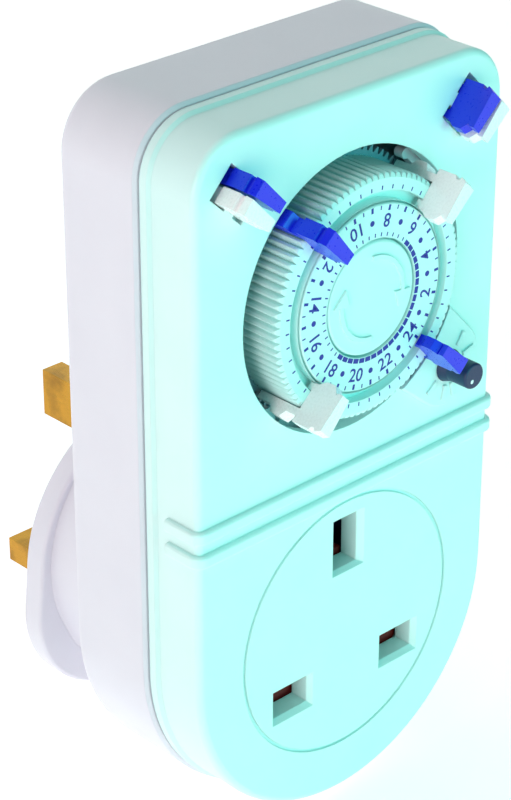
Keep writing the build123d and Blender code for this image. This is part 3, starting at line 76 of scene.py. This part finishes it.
# %% [markdown]
# The dressing follows the frame, so the places that matter are read from it and not typed again: where the
# dial turns, how far the face and the number disc stand out, and how large the case is.

# %% Places taken from the frame
joints = {joint["name"]: joint for joint in frame["joints"]}
dial_x, _, dial_z = joints["dial_spin"]["pos_m"]
knob_x, face_y, knob_z = joints["knob_turn"]["pos_m"]
disc_top_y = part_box("number_disc")[0].y
rim_top_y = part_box("dial_rim")[0].y
FLOOR_GAP = 0.5 * MM
floor_z = cad_bounds[0][2] - FLOOR_GAP
print(f"dial centre z {dial_z / MM:.2f} mm, disc top y {disc_top_y / MM:.2f} mm, "
      f"rim top y {rim_top_y / MM:.2f} mm")

# %% [markdown]
# Two small helpers carry every material. Colours are chosen as hex values, the way a paint chart gives them,
# and shaders want linear light, so one function converts them. The other adds a node, sets it and links it.

# %% Helpers for colours and nodes
def linear(hex_colour):
    """Hex colour such as #DAF8F5 as linear red, green, blue and an alpha of one."""
    channels = [int(hex_colour[k:k + 2], 16) / 255 for k in (1, 3, 5)]
    return [c / 12.92 if c <= 0.04045 else ((c + 0.055) / 1.055) ** 2.4 for c in channels] + [1.0]


def add_node(tree, kind, inputs=None, **settings):
    """Add one node with its settings; an input is a plain value or another node's socket."""
    new = tree.nodes.new(kind)
    for name, value in settings.items():
        setattr(new, name, value)
    for socket, value in (inputs or {}).items():
        if isinstance(value, bpy.types.NodeSocket):
            tree.links.new(value, new.inputs[socket])
        else:
            new.inputs[socket].default_value = value
    return new


# %% [markdown]
# Moulded plastic is never perfectly flat. The tool's spark-eroded skin leaves a fine grain, the wall sinks a
# little over thick sections, and every edge is slightly round. A noise at grain size and a wide one for the
# soft waves feed a Bump node, and a Bevel node rounds the normals along the edges, so light catches them.
# The same recipe with other numbers gives glossy acetal, painted knobs and insulating mouldings.

# %% The recipe for moulded plastic
EDGE_SAMPLES = 4
GRAIN_RELIEF, WAVE_RELIEF, WAVE_STRENGTH = 0.02 * MM, 0.05 * MM, 0.25
GLOSS_SPREAD = 0.12
PLASTIC_IOR = 1.53
SCATTER_RADIUS, SCATTER_SCALE = (1.0, 0.95, 0.9), 0.6 * MM


def moulded_plastic(name, colour, shade, roughness, grain_mm=0.35, grain_depth=0.25, wave_mm=9.0,
                    edge_mm=0.22, subsurface=0.0, glow=0.0):
    """Plastic with grain, soft waves, a faint mottle between two colours and rounded edges."""
    material = bpy.data.materials.new(name)
    material.use_nodes = True
    tree = material.node_tree
    tree.nodes.clear()
    place = add_node(tree, "ShaderNodeTexCoord").outputs["Object"]
    grain = add_node(tree, "ShaderNodeTexNoise", {"Vector": place, "Scale": 1 / (grain_mm * MM),
                                                  "Detail": 3.0})
    wave = add_node(tree, "ShaderNodeTexNoise", {"Vector": place, "Scale": 1 / (wave_mm * MM), "Detail": 2.0})
    mottle = add_node(tree, "ShaderNodeMix", {0: wave.outputs["Fac"], 6: linear(colour), 7: linear(shade)},
                      data_type="RGBA")
    gloss = add_node(tree, "ShaderNodeMapRange", {"Value": grain.outputs["Fac"], "From Min": 0.3,
                                                  "From Max": 0.7,
                                                  "To Min": roughness * (1 - GLOSS_SPREAD),
                                                  "To Max": roughness * (1 + GLOSS_SPREAD)})
    edge = add_node(tree, "ShaderNodeBevel", {"Radius": edge_mm * MM}, samples=EDGE_SAMPLES)
    fine = add_node(tree, "ShaderNodeBump", {"Height": grain.outputs["Fac"], "Strength": grain_depth,
                                             "Distance": GRAIN_RELIEF, "Normal": edge.outputs["Normal"]})
    wide = add_node(tree, "ShaderNodeBump", {"Height": wave.outputs["Fac"], "Strength": WAVE_STRENGTH,
                                             "Distance": WAVE_RELIEF, "Normal": fine.outputs["Normal"]})
    shader = add_node(tree, "ShaderNodeBsdfPrincipled",
                      {"Base Color": mottle.outputs[2], "Roughness": gloss.outputs["Result"],
                       "IOR": PLASTIC_IOR,
                       "Normal": wide.outputs["Normal"], "Subsurface Weight": subsurface,
                       "Subsurface Radius": SCATTER_RADIUS, "Subsurface Scale": SCATTER_SCALE,
                       "Emission Color": linear(colour), "Emission Strength": glow})
    add_node(tree, "ShaderNodeOutputMaterial", {"Surface": shader.outputs["BSDF"]})
    return material


print("recipe for moulded plastic ready")

# %% [markdown]
# Case, cover and dial are ABS. The cover and dial are given a cool, faintly aqua white, and the rear case and
# the plug moulding a darker white with a hint of lilac. Both tints are partly painted light: the aqua stands in
# for part of the cyan face light, and the darker lilac white is painted shade and lilac light on the sides and
# top. Most of the aqua on the lit face comes from the face light set further down.

# %% White mouldings
# Painted light: the faint aqua of cover and dial and the darker lilac white of the case stand in partly for light
# and shade.
cover_abs = moulded_plastic("satin_abs_faint_aqua_painted_light", "#DAF8F5", "#D2F4F1", 0.34, subsurface=0.08)
dial_abs = moulded_plastic("satin_abs_dial", "#D6F8F5", "#CCF4F1", 0.38, edge_mm=0.14, subsurface=0.08)
case_abs = moulded_plastic("satin_abs_rear_case", "#E2E1EA", "#DCDBE5", 0.36, edge_mm=0.3, subsurface=0.1)
print("white mouldings:", cover_abs.name, dial_abs.name, case_abs.name)

# %% [markdown]
# The tappets are small glossy mouldings in acetal, which takes a strong pigment and polishes bright. The
# knob and the shutter are nylon; inside, the gears are acetal and the socket block is a dark thermoset. The
# gear is given a mid grey-blue, darker than natural acetal, as painted shade for the dim gap round the dial.

# %% Coloured mouldings
blue_acetal = moulded_plastic("glossy_blue_acetal", "#1028EA", "#0C20DC", 0.3, grain_depth=0.02, edge_mm=0.12)
white_acetal = moulded_plastic("glossy_white_acetal", "#FFFFFF", "#FDFEFE", 0.28, grain_depth=0.02,
                               edge_mm=0.12, subsurface=0.15)
knob_nylon = moulded_plastic("slate_nylon_knob", "#0E2C58", "#0A2448", 0.4, grain_depth=0.05, edge_mm=0.15)
shutter_nylon = moulded_plastic("red_nylon_shutter", "#8C1410", "#7A100D", 0.4)
# Painted shade: the gear's mid grey-blue darkens the gap round the dial where the gear shows.
gear_acetal = moulded_plastic("acetal_gear_grey_blue_painted_shade", "#7FA6B4", "#7398A6", 0.35, edge_mm=0.05)
pinion_acetal = moulded_plastic("natural_acetal_wheel", "#E4E8EC", "#D8DDE4", 0.33, edge_mm=0.05,
                                subsurface=0.1)
block_thermoset = moulded_plastic("dark_thermoset_block", "#23264A", "#1C1F3E", 0.45)
switch_thermoset = moulded_plastic("black_thermoset_switch", "#17181C", "#121317", 0.4)
live_sleeve = moulded_plastic("brown_wire_sleeve", "#5A3018", "#4E2914", 0.5, edge_mm=0.05)
neutral_sleeve = moulded_plastic("blue_wire_sleeve", "#1E4CA8", "#1A4498", 0.5, edge_mm=0.05)
by_slot = {"blue_plastic": blue_acetal, "white_plastic": white_acetal, "knob_plastic": knob_nylon,
           "shutter_plastic": shutter_nylon, "gear_plastic": gear_acetal, "pinion_plastic": pinion_acetal,
           "block_plastic": block_thermoset, "switch_plastic": switch_thermoset,
           "lead_sleeve_live": live_sleeve, "lead_sleeve": neutral_sleeve}
print(len(by_slot), "coloured mouldings")

# %% [markdown]
# Metal differs from plastic in that its colour lies in the reflection. Drawn brass pins carry fine lines
# along their length from the die, rubbed marks, and a few darker tarnished clouds. Stretching a noise along
# one axis makes the lines, and the same noise lifts the roughness, so reflections smear across them.

# %% The recipe for drawn and rolled metal
LINE_RELIEF, LINE_STRENGTH = 0.01 * MM, 0.35
SMEAR_LOW, SMEAR_HIGH = 0.7, 1.4


def drawn_metal(name, colour, tarnish, roughness, line_mm=0.12, along=(1.0, 0.04, 1.0), cloud_mm=3.0,
                edge_mm=0.12):
    """Metal with die lines along one axis, tarnish clouds and rounded edges."""
    material = bpy.data.materials.new(name)
    material.use_nodes = True
    tree = material.node_tree
    tree.nodes.clear()
    place = add_node(tree, "ShaderNodeTexCoord").outputs["Object"]
    stretched = add_node(tree, "ShaderNodeMapping", {"Vector": place, "Scale": along})
    lines = add_node(tree, "ShaderNodeTexNoise", {"Vector": stretched.outputs["Vector"],
                                                  "Scale": 1 / (line_mm * MM), "Detail": 4.0})
    clouds = add_node(tree, "ShaderNodeTexNoise", {"Vector": place, "Scale": 1 / (cloud_mm * MM),
                                                   "Detail": 4.0})
    cover = add_node(tree, "ShaderNodeMapRange", {"Value": clouds.outputs["Fac"], "From Min": 0.5,
                                                  "From Max": 0.75})
    tint = add_node(tree, "ShaderNodeMix", {0: cover.outputs["Result"], 6: linear(colour),
                                            7: linear(tarnish)},
                    data_type="RGBA")
    smear = add_node(tree, "ShaderNodeMapRange", {"Value": lines.outputs["Fac"], "From Min": 0.25,
                                                  "From Max": 0.75,
                                                  "To Min": roughness * SMEAR_LOW,
                                                  "To Max": roughness * SMEAR_HIGH})
    edge = add_node(tree, "ShaderNodeBevel", {"Radius": edge_mm * MM}, samples=EDGE_SAMPLES)
    relief = add_node(tree, "ShaderNodeBump", {"Height": lines.outputs["Fac"], "Strength": LINE_STRENGTH,
                                               "Distance": LINE_RELIEF, "Normal": edge.outputs["Normal"]})
    shader = add_node(tree, "ShaderNodeBsdfPrincipled",
                      {"Base Color": tint.outputs[2], "Metallic": 1.0, "Roughness": smear.outputs["Result"],
                       "Normal": relief.outputs["Normal"]})
    add_node(tree, "ShaderNodeOutputMaterial", {"Surface": shader.outputs["BSDF"]})
    return material


pin_brass = drawn_metal("drawn_brass_pin", "#CB9434", "#94692A", 0.22, cloud_mm=6.0)
strip_brass = drawn_metal("rolled_brass_strip", "#C9A04E", "#8F6B2A", 0.3, along=(1.0, 1.0, 0.05))
zinc_sheet = drawn_metal("zinc_plated_sheet", "#A9B0B8", "#8A929C", 0.36, along=(0.05, 1.0, 1.0),
                         cloud_mm=6.0)
zinc_screw = drawn_metal("zinc_plated_screw", "#9EA3AA", "#7C828A", 0.3, along=(1.0, 1.0, 1.0))
by_slot.update({"pin_brass": pin_brass, "contact_brass": strip_brass, "plate_steel": zinc_sheet,
                "screw_steel": zinc_screw, "spring_steel": zinc_screw, "face_plastic": cover_abs,
                "dial_plastic": dial_abs, "case_plastic": case_abs})
for part in frame["record"]["subparts"]:
    frame["nodes"][part["node"]].data.materials.clear()
    frame["nodes"][part["node"]].data.materials.append(by_slot[part["material_slot"]])

# %% [markdown]
# The dial is pad-printed in one blue ink. The marks sit on circles: a heavy ring of dashes for the dark half
# of the day, a light one for the other half, ticks at the hours and half hours, and dots at the odd hours.
# A Geometry Nodes tree is made for this: points on a circle by a rule, one bar or dot on each, then Realize
# Instances and Set Material. Only the numbers given to its inputs differ from ring to ring.

# %% Printing ink
ink = moulded_plastic("pad_printed_blue_ink", "#0A24A0", "#082096", 0.5, grain_depth=0.1, edge_mm=0.01)
INK_THICK = 0.015 * MM
DOT_SIDES = 20
print("ink", ink.name)

# %% [markdown]
# The tree counts points along a line, turns each index into an angle and sets the point on the circle. A
# switch picks the bar or the dot, and each mark is turned to point outward before it becomes real mesh.

# %% A tree that prints a ring of marks
def ring_tree():
    """Node tree: Count marks on a circle, each a radial bar or a round dot, facing the user."""
    tree = bpy.data.node_groups.new("ring_of_marks", "GeometryNodeTree")
    wanted = (("Count", "NodeSocketInt"), ("Radius", "NodeSocketFloat"), ("Start", "NodeSocketFloat"),
              ("Step", "NodeSocketFloat"), ("Length", "NodeSocketFloat"), ("Width", "NodeSocketFloat"),
              ("Thickness", "NodeSocketFloat"), ("Round", "NodeSocketBool"), ("Centre", "NodeSocketVector"),
              ("Ink", "NodeSocketMaterial"))
    for name, kind in wanted:
        tree.interface.new_socket(name=name, in_out="INPUT", socket_type=kind)
    tree.interface.new_socket(name="Geometry", in_out="OUTPUT", socket_type="NodeSocketGeometry")
    given = add_node(tree, "NodeGroupInput").outputs
    index = add_node(tree, "GeometryNodeInputIndex").outputs[0]
    turn = add_node(tree, "ShaderNodeMath", {0: index, 1: given["Step"], 2: given["Start"]},
                    operation="MULTIPLY_ADD").outputs[0]
    cosine = add_node(tree, "ShaderNodeMath", {0: turn}, operation="COSINE").outputs[0]
    sine = add_node(tree, "ShaderNodeMath", {0: turn}, operation="SINE").outputs[0]
    direction = add_node(tree, "ShaderNodeCombineXYZ", {"X": cosine, "Z": sine}).outputs[0]
    spot = add_node(tree, "ShaderNodeVectorMath", {0: direction, "Scale": given["Radius"]}, operation="SCALE")
    line = add_node(tree, "GeometryNodeMeshLine", {"Count": given["Count"]})
    points = add_node(tree, "GeometryNodeSetPosition", {"Geometry": line.outputs[0],
                                                        "Position": spot.outputs[0]})
    size = add_node(tree, "ShaderNodeCombineXYZ", {"X": given["Length"], "Y": given["Thickness"],
                                                   "Z": given["Width"]})
    bar = add_node(tree, "GeometryNodeMeshCube", {"Size": size.outputs[0]})
    half = add_node(tree, "ShaderNodeMath", {0: given["Width"], 1: 0.5}, operation="MULTIPLY").outputs[0]
    dot = add_node(tree, "GeometryNodeMeshCylinder", {"Vertices": DOT_SIDES, "Radius": half,
                                                      "Depth": given["Thickness"]})
    upright = add_node(tree, "GeometryNodeTransform", {"Geometry": dot.outputs[0],
                                                       "Rotation": (math.pi / 2, 0, 0)})
    mark = add_node(tree, "GeometryNodeSwitch", {"Switch": given["Round"], "False": bar.outputs[0],
                                                 "True": upright.outputs[0]}, input_type="GEOMETRY")
    back = add_node(tree, "ShaderNodeMath", {0: turn, 1: -1.0}, operation="MULTIPLY").outputs[0]
    aim = add_node(tree, "ShaderNodeCombineXYZ", {"Y": back}).outputs[0]
    aimed = add_node(tree, "FunctionNodeEulerToRotation", {"Euler": aim}).outputs[0]
    placed = add_node(tree, "GeometryNodeInstanceOnPoints", {"Points": points.outputs[0],
                                                             "Instance": mark.outputs[0],
                                                             "Rotation": aimed})
    moved = add_node(tree, "GeometryNodeTransform", {"Geometry": placed.outputs[0],
                                                     "Translation": given["Centre"]})
    solid = add_node(tree, "GeometryNodeRealizeInstances", {"Geometry": moved.outputs[0]})
    inked = add_node(tree, "GeometryNodeSetMaterial", {"Geometry": solid.outputs[0],
                                                       "Material": given["Ink"]})
    add_node(tree, "NodeGroupOutput", {"Geometry": inked.outputs[0]})
    return tree


marks_tree = ring_tree()
print("tree", marks_tree.name, "with", len(marks_tree.nodes), "nodes")

# %% [markdown]
# A tree only works while its modifier is on, and the finished part needs plain meshes. So each ring is built
# on an empty mesh, evaluated, copied with new_from_object and kept; the modifier goes away with its object.

# %% Print a ring
def evaluated_mesh(tree, name, values):
    """Run a tree on an empty mesh with the given inputs and keep the result as a plain mesh."""
    host = bpy.data.objects.new(name + "_host", bpy.data.meshes.new(name + "_host"))
    bpy.context.scene.collection.objects.link(host)
    modifier = host.modifiers.new("nodes", "NODES")
    modifier.node_group = tree
    for item in tree.interface.items_tree:
        if item.in_out == "INPUT" and item.name in values:
            modifier[item.identifier] = values[item.name]
    bpy.context.view_layer.update()
    mesh = bpy.data.meshes.new_from_object(host.evaluated_get(bpy.context.evaluated_depsgraph_get()))
    mesh.name = name
    bpy.data.objects.remove(host)
    return mesh


def add_piece(name, mesh, body):
    """Object at the origin for a mesh that already has its place, riding on a body."""
    piece = bpy.data.objects.new(name, mesh)
    bpy.context.scene.collection.objects.link(piece)
    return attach(piece, body)


def print_ring(name, count, inner_mm, outer_mm, start_deg, step_deg, width_mm, surface_y, round_dot=False):
    """Ring of printed marks between two radii on the dial."""
    values = {"Count": count, "Radius": (inner_mm + outer_mm) / 2 * MM, "Start": math.radians(start_deg),
              "Step": math.radians(step_deg), "Length": (outer_mm - inner_mm) * MM, "Width": width_mm * MM,
              "Thickness": 2 * INK_THICK, "Round": round_dot, "Centre": (dial_x, surface_y,
                                                                         dial_z), "Ink": ink}
    return add_piece(name, evaluated_mesh(marks_tree, name, values), "dial")


print("ring printer ready")

# %% [markdown]
# The dial turns once a day, so an hour is 15 degrees. MIDNIGHT_DEG is where the 24 sits with the dial at
# rest, and the two half-day rings start six hours before and after it. Radii and widths are in millimetres.

# %% The rings of the dial
HOUR_DEG = 15.0
ODD_DOT_MIDDLE, ODD_DOT_R = 11.15, 0.42
ZERO_HOUR_DEG = -44.2
MIDNIGHT_DEG = ZERO_HOUR_DEG + 24 * HOUR_DEG
EVENING_DEG = MIDNIGHT_DEG - 6 * HOUR_DEG
MORNING_DEG = MIDNIGHT_DEG + 6 * HOUR_DEG
half_hour = HOUR_DEG / 2
print_ring("night_dashes", 24, 8.8, 9.5, EVENING_DEG + half_hour / 2, half_hour, 1.02, disc_top_y)
print_ring("day_ticks", 24, 8.95, 9.5, MORNING_DEG + half_hour / 2, half_hour, 0.2, disc_top_y)
print_ring("odd_hour_dots", 12, ODD_DOT_MIDDLE - ODD_DOT_R, ODD_DOT_MIDDLE + ODD_DOT_R,
           MIDNIGHT_DEG + HOUR_DEG, 2 * HOUR_DEG, 2 * ODD_DOT_R, disc_top_y, round_dot=True)
print_ring("hour_ticks", 24, 12.6, 13.4, MIDNIGHT_DEG, HOUR_DEG, 0.42, disc_top_y)
print_ring("half_hour_ticks", 24, 12.8, 13.4, MIDNIGHT_DEG + half_hour, HOUR_DEG, 0.2, disc_top_y)
print_ring("rim_ticks", 48, 15.6, 16.2, MIDNIGHT_DEG, half_hour, 0.22, rim_top_y)
print("dial rings printed from", MIDNIGHT_DEG, "degrees")

# %% [markdown]
# The even hours are set in a plain sans face, each turned so that its head points to the middle of the dial.
# A text object becomes a mesh first and gets its place afterwards, in the mesh itself.

# %% The hour numerals
NUMERAL_HIGH = 1.95 * MM
NUMERAL_BASE_R = 12.15 * MM
NUMERAL_SHARE = 0.7
NUMERAL_BOLDER = 0.035 * MM


def hour_numeral(hour):
    """Printed number of one hour, its foot outward."""
    words = bpy.data.curves.new(f"hour_{hour:02d}", "FONT")
    words.body = str(hour)
    words.align_x = "CENTER"
    words.size = NUMERAL_HIGH / NUMERAL_SHARE
    words.offset = NUMERAL_BOLDER
    words.extrude = INK_THICK
    words.resolution_u = 3
    shape = bpy.data.objects.new(words.name, words)
    bpy.context.scene.collection.objects.link(shape)
    bpy.context.view_layer.update()
    mesh = bpy.data.meshes.new_from_object(shape.evaluated_get(bpy.context.evaluated_depsgraph_get()))
    bpy.data.objects.remove(shape)
    turn = math.radians(MIDNIGHT_DEG + HOUR_DEG * hour)
    up_x, up_z = -math.cos(turn), -math.sin(turn)
    foot = (dial_x - up_x * NUMERAL_BASE_R, disc_top_y, dial_z - up_z * NUMERAL_BASE_R)
    place = Matrix(((up_z, up_x, 0, foot[0]), (0, 0, -1, foot[1]), (-up_x, up_z, 0, foot[2]), (0, 0, 0, 1)))
    mesh.transform(place)
    mesh.materials.clear()
    mesh.materials.append(ink)
    return add_piece(f"hour_{hour:02d}", mesh, "dial")


for hour in range(2, 25, 2):
    hour_numeral(hour)
print("numerals for 12 even hours")

# %% [markdown]
# The knob end has a small sunk spot filled with white paint, which shows how far the knob is turned. The
# paint is a shallow disc with a rounded top, made by spinning its profile, and it turns with the knob.

# %% The paint spot on the knob
SPOT_FROM_MIDDLE, SPOT_TURN = 0.85 * MM, math.radians(240.0)
SPOT_R, SPOT_DEEP = 0.36 * MM, 0.3 * MM
SPOT_SIDES = 24
SPOT_PROFILE = ((1.0, SPOT_DEEP), (1.0, 0.06 * MM), (0.6, 0.01 * MM), (0.25, -0.01 * MM))
white_paint = moulded_plastic("white_enamel_paint", "#FFFFFF", "#F4F8FA", 0.25, grain_depth=0.02,
                              edge_mm=0.02)


def paint_spot():
    """Disc of paint with a domed top, in the sunk spot of the knob end."""
    top_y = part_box("override_knob")[0].y
    x = knob_x + SPOT_FROM_MIDDLE * math.cos(SPOT_TURN)
    z = knob_z + SPOT_FROM_MIDDLE * math.sin(SPOT_TURN)
    shape = bmesh.new()
    turns = [k * math.tau / SPOT_SIDES for k in range(SPOT_SIDES)]
    rows = [[shape.verts.new((x + share * SPOT_R * math.cos(a), top_y + deep,
                              z + share * SPOT_R * math.sin(a)))
             for a in turns] for share, deep in SPOT_PROFILE]
    for low, high in zip(rows, rows[1:]):
        for k in range(SPOT_SIDES):
            shape.faces.new((low[k - 1], low[k], high[k], high[k - 1]))
    shape.faces.new(rows[-1])
    shape.faces.new(rows[0][::-1])
    bmesh.ops.recalc_face_normals(shape, faces=shape.faces)
    mesh = bpy.data.meshes.new("paint_spot")
    shape.to_mesh(mesh)
    shape.free()
    mesh.materials.append(white_paint)
    return add_piece("paint_spot", mesh, "override_knob")


paint_spot()
print("paint spot at", round(knob_x / MM, 2), round(knob_z / MM, 2), "mm")

# %% [markdown]
# The shutter's return spring is the one piece that changes its length: its coils close up as the shutter
# comes down. Here the coil is a rigid copy on the case, with doubled vertices welded, and the share of its
# length that the shutter's travel leaves is worked out but not applied; a rigid copy would poke through the
# shutter.

# %% The shutter's spring
WELD = 0.0001 * MM


def shutter_coil():
    """Rigid copy of the spring on the case; returns the share of its length that the shutter's travel leaves."""
    mesh = frame["nodes"]["shutter_spring"].data.copy()
    shape = bmesh.new()
    shape.from_mesh(mesh)
    bmesh.ops.remove_doubles(shape, verts=shape.verts, dist=WELD)
    shape.to_mesh(mesh)
    shape.free()
    coil = add_piece("shutter_coil", mesh, "case")
    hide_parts("shutter_spring")
    low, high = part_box("shutter_spring")
    travel = max(abs(end) for end in joints["shutter_drop"]["range_m"])
    keep = 1 - travel / (high.z - low.z)
    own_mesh(coil)
    return keep


print("spring keeps", round(shutter_coil(), 3), "of its length")

# %% [markdown]
# The floor is a sheet of white paper that curves up into the backdrop. It glows a little, so it stays white
# without a light of its own.

# %% Floor and backdrop
BEND_STEPS = 12


def backdrop():
    """Floor that bends up into a wall behind the object."""
    mesh = bpy.data.meshes.new("backdrop")
    shape = bmesh.new()
    bend, near, far, wide, tall = 0.25, -1.4, 0.9, 2.2, 1.6
    turns = [k * math.pi / (2 * BEND_STEPS) for k in range(BEND_STEPS + 1)]
    curve = [(far - bend + bend * math.sin(a), floor_z + bend - bend * math.cos(a)) for a in turns]
    profile = [(near, floor_z)] + curve + [(far, floor_z + tall)]
    rows = [[shape.verts.new((x, y, z)) for y, z in profile] for x in (-wide, wide)]
    for k in range(len(profile) - 1):
        shape.faces.new((rows[0][k], rows[1][k], rows[1][k + 1], rows[0][k + 1]))
    shape.to_mesh(mesh)
    shape.free()
    return mesh


floor = bpy.data.objects.new("backdrop", backdrop())
bpy.context.scene.collection.objects.link(floor)
floor_paper = moulded_plastic("lit_white_paper", "#FFFFFF", "#FCFCFC", 0.9, grain_mm=1.5, edge_mm=0.01,
                              glow=0.5)
floor.data.materials.append(floor_paper)
print("floor at z", round(floor_z / MM, 2), "mm")

# %% [markdown]
# Three lights: a strong cyan one on the face, and two faintly pink ones from the left and from above. The
# surround is dim. The Standard view transform keeps bright colours as they are and does not soften them.

# %% Lights
def soft_light(name, place, aim, size, power, colour):
    """Square area light aimed at a point."""
    lamp = bpy.data.lights.new(name, "AREA")
    lamp.size = size
    lamp.energy = power
    lamp.color = linear(colour)[:3]
    holder = bpy.data.objects.new(name, lamp)
    holder.location = place
    holder.rotation_euler = (Vector(aim) - Vector(place)).to_track_quat("-Z", "Y").to_euler()
    bpy.context.scene.collection.objects.link(holder)
    return holder


AIM_Z = 0.03
SURROUND_STRENGTH = 0.12
middle = (0.0, face_y, AIM_Z)
soft_light("face_light", (0.1, -0.95, 0.2), middle, 0.5, 4.6, "#5CFFF4")
soft_light("side_light", (-0.88, -0.36, 0.12), middle, 0.5, 4.2, "#FFEDED")
soft_light("top_light", (-0.1, 0.1, 0.95), middle, 0.6, 2.2, "#FFECEE")
world = bpy.data.worlds.new("soft_surround")
world.use_nodes = True
world.node_tree.nodes["Background"].inputs["Color"].default_value = linear("#E4FFFC")
world.node_tree.nodes["Background"].inputs["Strength"].default_value = SURROUND_STRENGTH
bpy.context.scene.world = world
bpy.context.scene.view_settings.view_transform = "Standard"
print("three lights and a soft surround")

# %% [markdown]
# The camera stands to the left of the switch and a little above it, with a long lens.

# %% Camera
CAMERA_PLACE = (-0.2310, -0.2680, 0.2064)
CAMERA_AIM = (-0.0187, -0.0453, 0.0438)
lens = bpy.data.cameras.new("portrait_lens")
lens.sensor_fit = "VERTICAL"
lens.sensor_height = 24.0
lens.lens = 77.2
lens.clip_start = 0.01
camera = bpy.data.objects.new("camera", lens)
camera.location = CAMERA_PLACE
camera.rotation_euler = (Vector(CAMERA_AIM) - camera.location).to_track_quat("-Z", "Y").to_euler()
bpy.context.scene.collection.objects.link(camera)
bpy.context.scene.camera = camera
print("camera", [round(v, 4) for v in camera.location])
